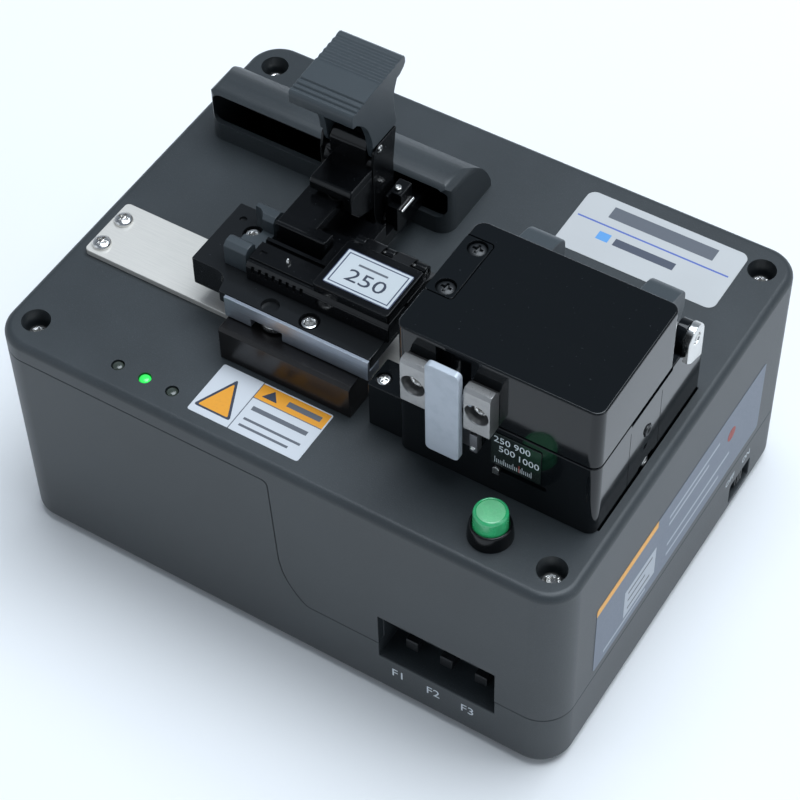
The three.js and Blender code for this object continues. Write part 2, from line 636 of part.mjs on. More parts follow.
const entryScrews = [[31.8, -12.9], [31.6, -28.2]];
const latchBlocks = [[31.2, 38.9], [49.6, 57.4]];
piece("head_lid", headLid(), "gloss");

function entryPlate() {
  const { x0, top } = HEAD;
  const body = prism("z", [[x0, -31.4], [35.2, -31.4], [35.2, -9.8], [x0, -9.8]], top - 1.7, top);
  return cut(body, ...entryScrews.map(([x, y]) => rod("z", x, y, 2.8, top - 2, top + 1)));
}
piece("entry_plate", entryPlate(), "gloss");
entryScrews.forEach(([x, y], i) => {
  piece("entry_screw_" + (i + 1), panScrew(x, y, HEAD.top - 1.7, 5.3, 1.6, 2.4, 6), "black");
});
piece("head_hinge_pin", join(
  rod("x", ...HINGE, 2, 34, 85, 20),
  rod("x", ...HINGE, 4.3, 84.2, 86.4),
), "nickel");

piece("heater_block", cut(
  box(40, 70, -30, -14, CAVITY.floor, 106.4),
  box(39, 71, FIBRE_Y - 0.6, FIBRE_Y + 0.6, 105.4, 108),
), "bluesteel");
piece("lower_blade", box(35.8, 36.7, -28, -15, CAVITY.floor, 106.9), "nickel");
piece("upper_blade", box(35.8, 36.7, -28, -15, 107.9, CAVITY.roof), "nickel");

// ---- Latch ----
latchBlocks.forEach(([a, b], i) => {
  const names = ["left", "right"];
  const [y0, back] = [LATCH_Y, HEAD.y0];
  const mid = (a + b) / 2;
  const outline = [[y0, 107.7], [back, 107.7], [back, 121.2], [-47.2, 122.7], [y0 + 0.8, 122.7], [y0, 121.8]];
  const wide = prism("x", outline, a, b);
  const body = cut(
    wide,
    rod("y", mid, 114.6, 3.3, y0 - 1, y0 + 3.8),
    rod("y", mid, 114.6, 1.4, y0 - 1, back + 1, 16),
    rod("x", ...LATCH_AXIS, 0.75, a + (i ? -1 : 5.6), i ? a + 2 : b + 1, 12),
  );
  piece("latch_block_" + names[i], body, "nickel");
  const screw = cut(
    join(rod("y", mid, 114.6, 2.1, y0 + 2, y0 + 3.8), rod("y", mid, 114.6, 1.2, y0 + 3.7, y0 + 9, 16)),
    rod("y", mid, 114.6, 1.1, y0 + 1, y0 + 3, 6),
  );
  piece("latch_screw_" + names[i], screw, "nickel");
});

function latchLever() {
  const [ay, az] = LATCH_AXIS;
  const plate = prism("y", rounded(39.3, 49.2, 94.5, 127.5, 1.4, 4), -51.6, -49.4);
  return join(
    plate,
    prism("x", [...arc(ay, az, 1.5, -90, 90, 8), [-49.6, az + 1.5], [-49.6, az - 1.5]], 39.5, 49),
    rod("x", ay, az, 0.6, 37.4, 51.1, 12),
    box(41, 47.5, -49.6, -47.4, 97.8, 103), // keeper, held by the catch
  );
}
piece("latch_lever", latchLever(), "light");
piece("latch_catch", join(
  box(40.6, 55.4, HEAD.y0 - 1.4, HEAD.y0, 95.2, 106.4),
  rod("y", 44.2, 100.4, 2.3, HEAD.y0 - 1.8, HEAD.y0 - 1.3),
), "grey");

piece("gap_pointer", join(
  box(56.3, 58.3, HEAD.y0 - 0.4, HEAD.y0 + 3, 90.4, 91.4),
  prism("y", [[56.3, 89.6], [58.3, 89.6], [58.3, 91.6], [57.3, 92.6], [56.3, 91.6]], HEAD.y0 - 1.2, HEAD.y0 - 0.3),
), "nickel");

export default group;
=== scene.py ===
# %% [markdown]
# # A bench stripper for coated glass fibre
#
# The machine holds one coated fibre in a clamp on a sliding carriage, closes two blades and a heater round
# its end, and draws the carriage back, which pulls the coating off. Its looks are made here around the CAD
# frame: a moulded case, a polished head, ground steel, nickel fittings and printed labels.
#
# Sizes below are in millimetres, as on a workshop drawing. One helper turns them into metres at the end.

import math

import bpy
import numpy as np
from mathutils import Matrix, Vector


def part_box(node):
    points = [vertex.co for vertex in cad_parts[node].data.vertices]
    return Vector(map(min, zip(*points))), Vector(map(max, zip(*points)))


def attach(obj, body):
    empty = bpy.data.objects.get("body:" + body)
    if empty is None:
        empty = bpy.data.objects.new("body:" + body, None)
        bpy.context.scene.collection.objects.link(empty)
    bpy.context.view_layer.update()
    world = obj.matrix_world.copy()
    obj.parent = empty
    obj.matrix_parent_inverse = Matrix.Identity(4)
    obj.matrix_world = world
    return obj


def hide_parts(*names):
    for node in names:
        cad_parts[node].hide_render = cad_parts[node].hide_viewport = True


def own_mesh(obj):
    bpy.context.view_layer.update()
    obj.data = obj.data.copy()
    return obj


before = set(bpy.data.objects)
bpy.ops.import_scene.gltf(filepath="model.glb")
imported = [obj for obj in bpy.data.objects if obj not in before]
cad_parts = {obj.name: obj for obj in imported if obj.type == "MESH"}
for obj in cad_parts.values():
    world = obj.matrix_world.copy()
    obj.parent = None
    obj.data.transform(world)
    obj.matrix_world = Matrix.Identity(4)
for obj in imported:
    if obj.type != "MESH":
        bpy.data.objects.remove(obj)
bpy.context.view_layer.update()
MM = 0.001

# %% [markdown]
# ## Camera
# The camera looks down on the right front corner from about two thirds of a metre. A long lens keeps the
# upright edges almost parallel, as in a catalogue view. Its frame is worked out from an azimuth, an elevation
# and a small roll, so that each number means something.

# %% Make the camera
def camera_axes(azimuth, elevation, roll):
    """Right, up and back vectors: back is (sin a cos e, -cos a cos e, sin e), and roll turns the others."""
    a, e, r = (math.radians(v) for v in (azimuth, elevation, roll))
    back = Vector((math.sin(a) * math.cos(e), -math.cos(a) * math.cos(e), math.sin(e)))
    right = Vector((math.cos(a), math.sin(a), 0))
    up = back.cross(right)
    return right * math.cos(r) + up * math.sin(r), up * math.cos(r) - right * math.sin(r), back


lens = bpy.data.cameras.new("camera")
lens.sensor_width = 36
lens.lens = 107.6
lens.clip_start = 0.02
camera = bpy.data.objects.new("camera", lens)
axes = camera_axes(32.92, 50.60, -1.57)
camera.matrix_world = Matrix.Translation((0.23983, -0.37245, 0.5742)) @ Matrix(axes).transposed().to_4x4()
bpy.context.scene.collection.objects.link(camera)
bpy.context.scene.camera = camera
bpy.context.scene.view_settings.view_transform = "Standard"
print("camera at", tuple(round(v, 3) for v in camera.location))

# %% [markdown]
# ## Floor, light and surroundings
# A large pale sheet lies under the machine, with soft lamps to the front left, above and to the right.
# Polished black mostly mirrors its surroundings, so the sky is dim high up and bright near the horizon: the
# head's top stays dark while its upright faces pick up the pale sheet.

# %% Lay the floor
def sheet_of(half, height):
    """A square grid: x and y run from -half to half, z stays at height."""
    side = np.linspace(-half, half, 9)
    x, y = np.meshgrid(side, side, indexing="ij")
    points = np.stack([x, y, np.full_like(x, height)], -1).reshape(-1, 3)
    i, j = np.meshgrid(np.arange(8), np.arange(8), indexing="ij")
    first = (i * 9 + j).ravel()
    return points, np.stack([first, first + 9, first + 10, first + 1], 1)


floor_mesh = bpy.data.meshes.new("floor")
floor_points, floor_faces = sheet_of(4, 0)
floor_mesh.from_pydata(floor_points.tolist(), [], floor_faces.tolist())
floor = bpy.data.objects.new("floor", floor_mesh)
bpy.context.scene.collection.objects.link(floor)
print("floor", floor_points.shape[0], "points")

# %% Place the lamps
def lamp(name, place, target, size, power, colour):
    """A square area lamp at place, facing target."""
    data = bpy.data.lights.new(name, "AREA")
    data.size, data.energy, data.color = size, power, colour
    made = bpy.data.objects.new(name, data)
    made.location = place
    made.rotation_euler = (Vector(target) - Vector(place)).to_track_quat("-Z", "Y").to_euler()
    bpy.context.scene.collection.objects.link(made)
    return made


PALE_BLUE = (0.84, 0.92, 1.0)  # colour of the softboxes
lamps = [
    lamp("front_left", (-1.3, -1.5, 1.3), (0, 0, 0.05), 1.3, 4, PALE_BLUE),
    lamp("above", (0.3, 0.4, 2.0), (0, 0, 0.05), 1.6, 54, PALE_BLUE),
    lamp("right", (1.9, 0.2, 0.9), (0, 0, 0.05), 1.2, 5, PALE_BLUE),
]
print(len(lamps), "lamps")

# %% [markdown]
# ## Shader expressions
# A finish is easier to read as sums than as a drawing of nodes. A Value wraps one output, and its operators
# add Math nodes. Everything else is added by one method: a node's type, its settings, and its inputs.

# %% Values and finishes
class Value:
    """One node output that can be used in an expression."""

    def __init__(self, finish, output):
        self.finish, self.output = finish, output

    def _math(self, operation, first, second=None):
        inputs = {0: first} if second is None else {0: first, 1: second}
        return self.finish.node("ShaderNodeMath", {"operation": operation}, inputs)

    def __add__(self, other):
        return self._math("ADD", self, other)

    def __mul__(self, other):
        return self._math("MULTIPLY", self, other)

    def __rsub__(self, other):
        return self._math("SUBTRACT", other, self)

    def __gt__(self, other):
        return self._math("GREATER_THAN", self, other)

    def __lt__(self, other):
        return self._math("LESS_THAN", self, other)

    __radd__, __rmul__ = __add__, __mul__


def set_stops(ramp, stops):
    """Places a ramp's colours in rising order."""
    while len(ramp.elements) < len(stops):
        ramp.elements.new(0.5)
    for element, (place, colour) in zip(ramp.elements, stops):
        element.position, element.color = place, (*colour, 1)


class Finish:
    """A material under construction."""

    def __init__(self, name):
        self.material = bpy.data.materials.new(name)
        self.material.use_nodes = True
        self.nodes = self.material.node_tree.nodes
        self.links = self.material.node_tree.links
        self.shader = self.nodes["Principled BSDF"]
        self.place = self.node("ShaderNodeTexCoord", output="Object")

    def put(self, socket, value):
        """A Value becomes a link, anything else the socket's own number or colour."""
        if isinstance(value, Value):
            self.links.new(value.output, socket)
        else:
            socket.default_value = value

    def node(self, kind, settings=None, inputs=None, output=0):
        made = self.nodes.new(kind)
        for key, value in (settings or {}).items():
            if key == "stops":
                set_stops(made.color_ramp, value)
            else:
                setattr(made, key, value)
        for key, value in (inputs or {}).items():
            self.put(made.inputs[key], value)
        return Value(self, made.outputs[output])

    def axis(self, number):
        """One coordinate of the place, in metres: 0, 1 or 2 for x, y or z."""
        return self.node("ShaderNodeSeparateXYZ", {}, {0: self.place}, number)

    def noise(self, scale, detail=3.0, roughness=0.55, place=None):
        settings = {"noise_dimensions": "3D"}
        inputs = {"Vector": place or self.place, "Scale": scale, "Detail": detail, "Roughness": roughness}
        return self.node("ShaderNodeTexNoise", settings, inputs, "Fac")

    def stretched(self, x, y, z):
        """The place, stretched by a factor along each axis, for grain that runs one way."""
        return self.node("ShaderNodeMapping", {}, {"Vector": self.place, "Scale": (x, y, z)})

    def blend(self, share, first, second):
        """first where share is 0, second where it is 1; colours are (r, g, b)."""
        inputs = {"Factor": share}
        for key, colour in ((6, first), (7, second)):
            inputs[key] = colour if isinstance(colour, Value) else (*colour, 1)
        return self.node("ShaderNodeMix", {"data_type": "RGBA"}, inputs, 2)

    def between(self, value, low, high):
        """value moved from low..high to 0..1 and held there."""
        inputs = {"Value": value, "From Min": low, "From Max": high}
        return self.node("ShaderNodeMapRange", {"interpolation_type": "SMOOTHSTEP"}, inputs)

    def bump(self, height, strength, depth, under=None):
        inputs = {"Height": height, "Strength": strength, "Distance": depth}
        if under:
            inputs["Normal"] = under
        return self.node("ShaderNodeBump", {}, inputs)

    def done(self, **sockets):
        """Sets the shader's sockets; an underscore in a name stands for a space."""
        for key, value in sockets.items():
            self.put(self.shader.inputs[key.replace("_", " ")], value)
        return self.material


print("finishes can be written as expressions")

# %% [markdown]
# ## Shapes from profiles
# Nearly every part of this machine was milled, moulded or turned, so nearly every part is a profile carried
# along a line or round an axis. Each helper below works out all its points in one numpy expression. A round
# rim is part of the profile's journey: the outline shrinks as it reaches an end.

# %% Outlines
def rounded(u0, u1, v0, v1, radius, steps=10):
    """Rectangle with round corners: each point is a corner's centre plus radius times (cos t, sin t)."""
    t = np.radians(90 * np.arange(4)[:, None] + np.linspace(0, 90, steps + 1))
    centres = np.array([[u1 - radius, v1 - radius], [u0 + radius, v1 - radius],
                        [u0 + radius, v0 + radius], [u1 - radius, v0 + radius]])
    return (centres[:, None] + radius * np.stack([np.cos(t), np.sin(t)], -1)).reshape(-1, 2)


def arc(u, v, radius, start, end, steps=10):
    """Points of an arc in degrees: the centre plus radius times (cos t, sin t)."""
    t = np.radians(np.linspace(start, end, steps + 1))
    return np.stack([u + radius * np.cos(t), v + radius * np.sin(t)], -1)


def circle(u, v, radius, steps=48):
    return arc(u, v, radius, 0, 360, steps)[:-1]


def eased(outline, radius=0.5, steps=4):
    """Corners turned into curves: (1-t)^2 a + 2t(1-t) c + t^2 b, with a and b a radius away from corner c."""
    corner = np.asarray(outline, float)
    back, ahead = np.roll(corner, 1, 0) - corner, np.roll(corner, -1, 0) - corner
    long_back, long_ahead = np.linalg.norm(back, axis=1), np.linalg.norm(ahead, axis=1)
    reach = np.minimum(radius, 0.45 * np.minimum(long_back, long_ahead))
    a = (corner + back * (reach / long_back)[:, None])[:, None]
    b = (corner + ahead * (reach / long_ahead)[:, None])[:, None]
    t = np.linspace(0, 1, steps + 1)[None, :, None]
    return ((1 - t) ** 2 * a + 2 * t * (1 - t) * corner[:, None] + t**2 * b).reshape(-1, 2)


def turning_left(outline):
    """The outline run counter-clockwise, no point twice. Its area is half the sum of x dy - y dx."""
    p = np.asarray(outline, float)
    p = p[np.linalg.norm(p - np.roll(p, 1, 0), axis=1) > 1e-5]
    q = np.roll(p, -1, 0)
    return p if (p[:, 0] * q[:, 1] - p[:, 1] * q[:, 0]).sum() > 0 else p[::-1]


def moved_in(outline, by):
    """Each point moved along the sum s of its two edges' inward normals, by s / (1 + their dot product)."""
    edge = np.roll(outline, -1, 0) - outline
    normal = np.stack([-edge[:, 1], edge[:, 0]], 1) / np.linalg.norm(edge, axis=1)[:, None]
    before = np.roll(normal, 1, 0)
    return outline + by * (normal + before) / (1 + (normal * before).sum(1))[:, None]


print("a 40 x 20 rectangle of corner 5 has", len(rounded(0, 40, 0, 20, 5)), "points")

# %% [markdown]
# Rows of points become a mesh by joining each row to the next with four-sided faces. Closing both ends with
# one face each gives a solid, and Blender then turns every face outwards.

# %% Rows to meshes
import bmesh

PLANES = {"x": (1, 2, 0), "y": (0, 2, 1), "z": (0, 1, 2)}  # where a profile's u, v and its journey lie


def closed(points, faces):
    """A mesh with doubled points merged, flat slivers gone and faces outwards."""
    mesh = bpy.data.meshes.new("shape")
    mesh.from_pydata(np.asarray(points).tolist(), [], faces)
    work = bmesh.new()
    work.from_mesh(mesh)
    bmesh.ops.remove_doubles(work, verts=work.verts, dist=1e-4)
    bmesh.ops.dissolve_degenerate(work, edges=work.edges, dist=1e-5)
    bmesh.ops.recalc_face_normals(work, faces=work.faces)
    work.to_mesh(mesh)
    work.free()
    return mesh


def skinned(rows, ends=True):
    """Rows of points, shape (rows, n, 3), joined in order. Each row is a closed ring."""
    count, n = rows.shape[:2]
    i, j = np.meshgrid(np.arange(count - 1), np.arange(n), indexing="ij")
    a, b = (i * n + j).ravel(), (i * n + (j + 1) % n).ravel()
    faces = np.stack([a, b, b + n, a + n], 1).tolist()
    if ends:
        faces += [list(range(n))[::-1], list(range((count - 1) * n, count * n))]
    return closed(rows.reshape(-1, 3), faces)


def slab(axis, outline, low, high, rim=0.25, rings=3):
    """A prism. Near each end the outline moves in by rim (1 - sin t) while it travels rim (1 - cos t)."""
    p = turning_left(outline)
    t = np.linspace(0, np.pi / 2, rings + 1) if rim else np.array([np.pi / 2])
    inward, travel = rim * (1 - np.sin(t)), rim * (1 - np.cos(t)) if rim else np.zeros(1)
    inward = np.concatenate([inward, inward[::-1]])
    along = np.concatenate([low + travel, high - travel[::-1]])
    rows = np.zeros((len(along), len(p), 3))
    u, v, w = PLANES[axis]
    flat = np.stack([moved_in(p, by) for by in inward])
    rows[..., u], rows[..., v], rows[..., w] = flat[..., 0], flat[..., 1], along[:, None]
    return skinned(rows)


def box(x0, x1, y0, y1, z0, z1, rim=0.0):
    return slab("z", eased([[x0, y0], [x1, y0], [x1, y1], [x0, y1]], rim, 2) if rim else
                [[x0, y0], [x1, y0], [x1, y1], [x0, y1]], z0, z1, rim * 0.8)


def rod(axis, u, v, radius, low, high, rim=0.0, steps=48):
    return slab(axis, circle(u, v, radius, steps), low, high, rim, 2)


def turned(axis, u, v, profile, steps=48):
    """A profile of (radius, height) spun once: (u + r cos t, v + r sin t, height), poles closed."""
    r, height = np.array(profile, float).T
    t = np.linspace(0, 2 * np.pi, steps, endpoint=False)
    rows = np.zeros((len(r), steps, 3))
    a, b, w = PLANES[axis]
    rows[..., a], rows[..., b] = u + r[:, None] * np.cos(t), v + r[:, None] * np.sin(t)
    rows[..., w] = height[:, None]
    return skinned(rows, ends=False)


print("a rounded slab has", len(slab("z", rounded(0, 4, 0, 4, 1), 0, 2).polygons), "faces")

# %% [markdown]
# Pockets, slots and screw holes are cut out of the closed shapes. The cut is made once and kept, so no cutter
# stays in the scene. The edges it leaves get a small bevel later, because a real edge always catches light.

# %% Join and cut
def combined(operation, first, *others):
    """first with the others added, taken away or kept in common, as one mesh."""
    shapes = (first, *others)
    made = [bpy.data.objects.new("work", mesh) for mesh in shapes]
    for item in made:
        bpy.context.scene.collection.objects.link(item)
    for item in made[1:]:
        step = made[0].modifiers.new("step", "BOOLEAN")
        step.operation, step.object, step.solver = operation, item, "EXACT"
    graph = bpy.context.evaluated_depsgraph_get()
    graph.update()
    result = bpy.data.meshes.new_from_object(made[0].evaluated_get(graph))
    for item in made:
        bpy.data.objects.remove(item)
    for mesh in shapes:
        if not mesh.users:
            bpy.data.meshes.remove(mesh)
    return result


def cut(first, *others):
    return combined("DIFFERENCE", first, *others)


def joined(first, *others):
    return combined("UNION", first, *others)


def together(*meshes):
    """Separate shapes kept in one mesh, for printed marks and small fittings."""
    work = bmesh.new()
    for mesh in meshes:
        work.from_mesh(mesh)
        bpy.data.meshes.remove(mesh)
    result = bpy.data.meshes.new("shape")
    work.to_mesh(result)
    work.free()
    return result


print("a plate with a hole has", len(cut(box(0, 9, 0, 9, 0, 2), rod("z", 4, 4, 1, -1, 3)).polygons), "faces")

# %% [markdown]
# A finished piece is smooth except at its real edges. The bevel rounds the edges left by cutting, and the
# weighted normals keep the large faces flat beside them. A piece then says what it rides on, which finish it
# wears and which CAD nodes it stands for.


def piece(name, mesh, finish, body, replaces=(), bevel=0.15, segments=2):
    """Puts a shape of millimetres into the scene in metres, at the origin."""
    mesh.transform(Matrix.Scale(MM, 4))
    mesh.name = name
    mesh.materials.clear()
    mesh.materials.append(finish)
    mesh.polygons.foreach_set("use_smooth", np.ones(len(mesh.polygons), bool))
    mesh.polygons.foreach_set("material_index", np.zeros(len(mesh.polygons), np.int32))
    made = bpy.data.objects.new(name, mesh)
    bpy.context.scene.collection.objects.link(made)
    if bevel:
        soft = made.modifiers.new("edges", "BEVEL")
        soft.width, soft.segments, soft.angle_limit = bevel * MM, segments, math.radians(38)
        soft.limit_method, soft.use_clamp_overlap, soft.miter_outer = "ANGLE", True, "MITER_ARC"
    else:
        mesh.set_sharp_from_angle(angle=math.radians(38))
    flat = made.modifiers.new("flats", "WEIGHTED_NORMAL")
    flat.keep_sharp, flat.weight = True, 80
    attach(made, body)
    if replaces:
        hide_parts(*replaces)
    return made


def corners(node):
    """Lowest and highest corner of a CAD node, in millimetres."""
    low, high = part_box(node)
    return [round(v / MM, 3) for v in (*low, *high)]


print("the deck plate spans", corners("steel_plate"))

# %% [markdown]
# ## Finishes
# The case is dark grey plastic from a spark-eroded mould: a fine grain of about half a millimetre that
# scatters light into a soft sheen. Paler specks in the colour are painted glints of that grain. Grain and
# glints are noise at two scales, and a broad slow noise stands for the unevenness that hands leave.

# %% Moulded plastic
def moulded(name, dark, pale, roughness, grain=2400, depth=0.00006, strength=0.35):
    """Colour = dark + painted glints in pale; roughness = level + slow noise; height = grain + finer grain /
    2.
    """
    f = Finish(name)
    coarse, fine, slow = f.noise(grain, 2), f.noise(grain * 2.3, 2), f.noise(22, 4)
    # the pale specks are painted glints of the grain
    painted_glints = f.between(fine, 0.60, 0.76)
    colour = f.blend(painted_glints * 0.75 + f.between(slow, 0.35, 0.75) * 0.10, dark, pale)
    height = coarse + fine * 0.5
    return f.done(Base_Color=colour, Roughness=slow * 0.10 + fine * 0.08 + (roughness - 0.09),
                  Normal=f.bump(height, strength, depth), IOR=1.5)


case_finish = moulded("case_plastic", (0.021, 0.026, 0.029), (0.095, 0.112, 0.125), 0.44, strength=0.5)
grip_finish = moulded("grip_plastic", (0.032, 0.041, 0.047), (0.075, 0.092, 0.105), 0.40, 3200, 0.00004, 0.3)
black_finish = moulded("black_plastic", (0.006, 0.007, 0.008), (0.022, 0.026, 0.030), 0.38,
                       3000, 0.00004, 0.25)
rubber_finish = moulded("rubber", (0.012, 0.012, 0.013), (0.03, 0.03, 0.03), 0.85, 1500, 0.00008, 0.4)
print("moulded:", case_finish.name, grip_finish.name, black_finish.name, rubber_finish.name)

# %% [markdown]
# The head is polished black plastic. It has almost no colour of its own: what one sees is the room. Faint
# wipe marks in the roughness and a long, weak waviness in the surface keep the reflection from looking ideal.

# %% Polished and anodised black
def polished(name, colour, roughness, smear=0.06, wave=0.25):
    """Roughness = a level + stretched noise where a cloth has passed + dust; height = slow waves."""
    f = Finish(name)
    wipes = f.between(f.noise(40, 5, 0.7, f.stretched(1.0, 3.2, 1.6)), 0.45, 0.8)
    dust = f.between(f.noise(900, 2), 0.70, 0.78)
    waves = f.noise(28, 1)
    return f.done(Base_Color=f.blend(dust * 0.2, colour, (0.06, 0.07, 0.08)),
                  Roughness=wipes * smear + dust * 0.15 + roughness,
                  Normal=f.bump(waves, wave, 0.0004), IOR=1.36)


def anodised(name, colour, edge, roughness, metallic=0.55):
    """Colour runs from dyed black to a worn edge tone with slow noise; fine lines are the height."""
    f = Finish(name)
    worn = f.between(f.noise(160, 4, 0.65), 0.50, 0.80)
    lines = f.noise(700, 2, 0.5, f.stretched(0.15, 1.0, 1.0))
    return f.done(Base_Color=f.blend(worn * 0.5, colour, edge),
                  Roughness=worn * 0.10 + lines * 0.08 + roughness,
                  Metallic=metallic, Normal=f.bump(lines, 0.12, 0.00004))


gloss_finish = polished("gloss_black", (0.0050, 0.0062, 0.0072), 0.075)
satin_finish = polished("satin_black", (0.0030, 0.0033, 0.0038), 0.16, 0.12, 0.15)
plate_finish = polished("carriage_brown", (0.012, 0.013, 0.014), 0.14, 0.12, 0.2)
guide_finish = anodised("guide_brown", (0.0075, 0.0065, 0.0065), (0.018, 0.0155, 0.0145), 0.26, 0.3)
motor_finish = anodised("motor_shell", (0.10, 0.10, 0.11), (0.22, 0.22, 0.23), 0.35, 0.8)
print("black:", gloss_finish.name, satin_finish.name, plate_finish.name, guide_finish.name)

# %% [markdown]
# Bare metals differ mainly in how they were finished. Ground steel has straight lines along the stroke, a
# blasted plate has a fine even frost, and plated screws are smooth with small turning rings and handling
# marks.

# %% Bare metals
def ground(name, colour, tint, roughness, along=(0.04, 1.0, 1.0), metallic=0.9):
    """Lines: noise stretched along the stroke. Colour, roughness and height all follow the same lines."""
    f = Finish(name)
    lines = f.noise(2600, 4, 0.6, f.stretched(*along))
    slow = f.noise(35, 3)
    share = f.between(lines, 0.3, 0.7) * 0.45 + f.between(slow, 0.4, 0.7) * 0.35
    return f.done(Base_Color=f.blend(share, colour, tint), Metallic=metallic,
                  Roughness=lines * 0.14 + slow * 0.10 + (roughness - 0.12),
                  Normal=f.bump(lines, 0.15, 0.00003))


def plated(name, colour, shade, roughness, frost=0.10, metallic=1.0):
    """Colour dulls in patches; a fine frost is the height and adds to the roughness."""
    f = Finish(name)
    grain, slow = f.noise(4200, 2), f.noise(260, 3)
    return f.done(Base_Color=f.blend(f.between(slow, 0.45, 0.75) * 0.6, colour, shade), Metallic=metallic,
                  Roughness=grain * 0.10 + slow * 0.08 + (roughness - 0.09),
                  Normal=f.bump(grain, frost, 0.00003))


steel_finish = ground("ground_steel", (0.72, 0.69, 0.64), (0.60, 0.58, 0.54), 0.44, metallic=0.5)
rail_finish = ground("blue_steel", (0.50, 0.54, 0.60), (0.36, 0.40, 0.46), 0.32)
nickel_finish = plated("nickel", (0.70, 0.69, 0.67), (0.48, 0.47, 0.46), 0.22)
block_finish = plated("latch_nickel", (0.35, 0.345, 0.34), (0.25, 0.25, 0.25), 0.30, 0.25, 0.8)
catch_finish = plated("latch_catch", (0.20, 0.20, 0.21), (0.14, 0.14, 0.15), 0.34, 0.2, 0.8)
lever_finish = plated("blasted_aluminium", (0.45, 0.49, 0.54), (0.38, 0.42, 0.47), 0.44, 0.3, 0.35)
print("metals:", steel_finish.name, rail_finish.name, nickel_finish.name, block_finish.name,
      lever_finish.name)

# %% [markdown]
# The start button is a clear green cap over a paler disc that spreads the light of the lamp under it. The
# three status lights are small cloudy lenses, and one of them is lit.

# %% Lamps and inks
def lit(name, colour, glow, power, roughness=0.25):
    """Coloured plastic with light behind it: the glow colour is dimmed where the resin is thick."""
    f = Finish(name)
    thick = f.between(f.noise(240, 3), 0.3, 0.8)
    return f.done(Base_Color=f.blend(thick, colour, tuple(0.7 * c for c in colour)),
                  Roughness=thick * 0.1 + roughness,
                  Emission_Color=f.blend(thick, glow, tuple(0.8 * c for c in glow)), Emission_Strength=power,
                  Coat_Weight=thick * 0.3 + 0.4, Coat_Roughness=0.08)


def ink(name, colour, faded, roughness=0.5):
    """Screen-printed ink, a little thinner in places."""
    f = Finish(name)
    thin = f.between(f.noise(900, 3), 0.45, 0.8)
    return f.done(Base_Color=f.blend(thin * 0.5, colour, faded), Roughness=thin * 0.2 + roughness,
                  Normal=f.bump(thin, 0.1, 0.00002))


cap_finish = lit("green_cap", (0.025, 0.33, 0.13), (0.03, 0.40, 0.14), 0.22)
disc_finish = lit("green_disc", (0.14, 0.48, 0.24), (0.12, 0.42, 0.20), 0.25)
lens_finish = lit("lens_off", (0.035, 0.045, 0.035), (0.0, 0.0, 0.0), 0.0)
lens_on_finish = lit("lens_lit", (0.03, 0.40, 0.08), (0.02, 0.75, 0.08), 1.0)
white_ink = ink("white_ink", (0.62, 0.66, 0.69), (0.40, 0.43, 0.46))
dark_ink = ink("dark_ink", (0.020, 0.028, 0.050), (0.05, 0.06, 0.09))
red_ink = ink("red_ink", (0.30, 0.03, 0.02), (0.24, 0.05, 0.04))
print("lamps and inks:", cap_finish.name, disc_finish.name, white_ink.name, dark_ink.name)

# %% [markdown]
# A printed label is one vinyl sheet, so its colours are one finish: rectangles cut out of the place in
# millimetres. A comparison gives 0 or 1, a product of four comparisons is a rectangle, and each rectangle
# blends in its own ink.

# %% Printed labels
class Print(Finish):
    """A label's colours, laid over one another in the plane of two axes."""

    def __init__(self, name, paper, across, up):
        super().__init__(name)
        self.u, self.v = self.axis(across) * 1000, self.axis(up) * 1000
        soft = self.between(self.noise(60, 3), 0.3, 0.8)
        self.colour = self.blend(soft * 0.25, paper, tuple(0.86 * c for c in paper))

    def area(self, u0, u1, v0, v1):
        return (self.u > u0) * (self.u < u1) * (self.v > v0) * (self.v < v1)

    def lay(self, mask, ink_colour):
        self.colour = self.blend(mask, self.colour, ink_colour)
        return self

    def frame(self, u0, u1, v0, v1, width, ink_colour):
        inner = self.area(u0 + width, u1 - width, v0 + width, v1 - width)
        return self.lay(self.area(u0, u1, v0, v1) * (1 - inner), ink_colour)

    def finished(self, roughness=0.38):
        fibre = self.noise(1500, 3)
        return self.done(Base_Color=self.colour, Roughness=fibre * 0.15 + roughness,
                         Normal=self.bump(fibre, 0.12, 0.00003), IOR=1.5)


print("labels are laid out in millimetres")

# %% [markdown]
# ## The case
# The case is two mouldings. The cover comes down over the left half of the front, and the base rises under it
# on the right, so their joint line drops in a soft step. Both start from one rounded block with a hollow
# inside, and a curtain with the joint line's outline divides them, with a gap of 0.3 mm between.

# %% Case sizes and block
DECK, FOOT, WALL = 80.65, 2.0, 2.5  # top face, height of the feet, wall thickness
CASE_X, CASE_Y, CASE_R = 90.3, 69.4, 10.0
BORES = [(x, y) for y in (-59.5, 59.5) for x in (-81.5, 81.5)]  # case screws
BORE_SEAT = 73  # where a case screw's head sits, deep in its bore
POCKET = dict(x0=34.4, x1=71.2, z0=17.5, z1=36.5)  # the key pocket
DRIVE_Y, SHAFT_Z, SCREW_Z = 37.0, 88.0, 66.0  # the drive's plane, its guide shaft and its lead screw
BUTTON, LIGHTS_X, LIGHTS_Y = (62.6, -58), (-52.6, -43.65, -34.7), -60.9
STRIP_SCREWS = [(-81.6, -17.8), (-81.6, -28.2)]
PLATE_SCREWS = [(-37, -16.2), (-6.5, -34.9)]  # they hold the carriage plate


def hollow_block():
    outer = slab("z", rounded(-CASE_X, CASE_X, -CASE_Y, CASE_Y, CASE_R, 16), FOOT, DECK, 2.5, 8)
    hollow = slab("z",
                  rounded(-CASE_X + WALL, CASE_X - WALL, -CASE_Y + WALL, CASE_Y - WALL, CASE_R - WALL, 8),
                  FOOT + WALL, DECK - WALL, 0)
    return cut(outer, hollow)


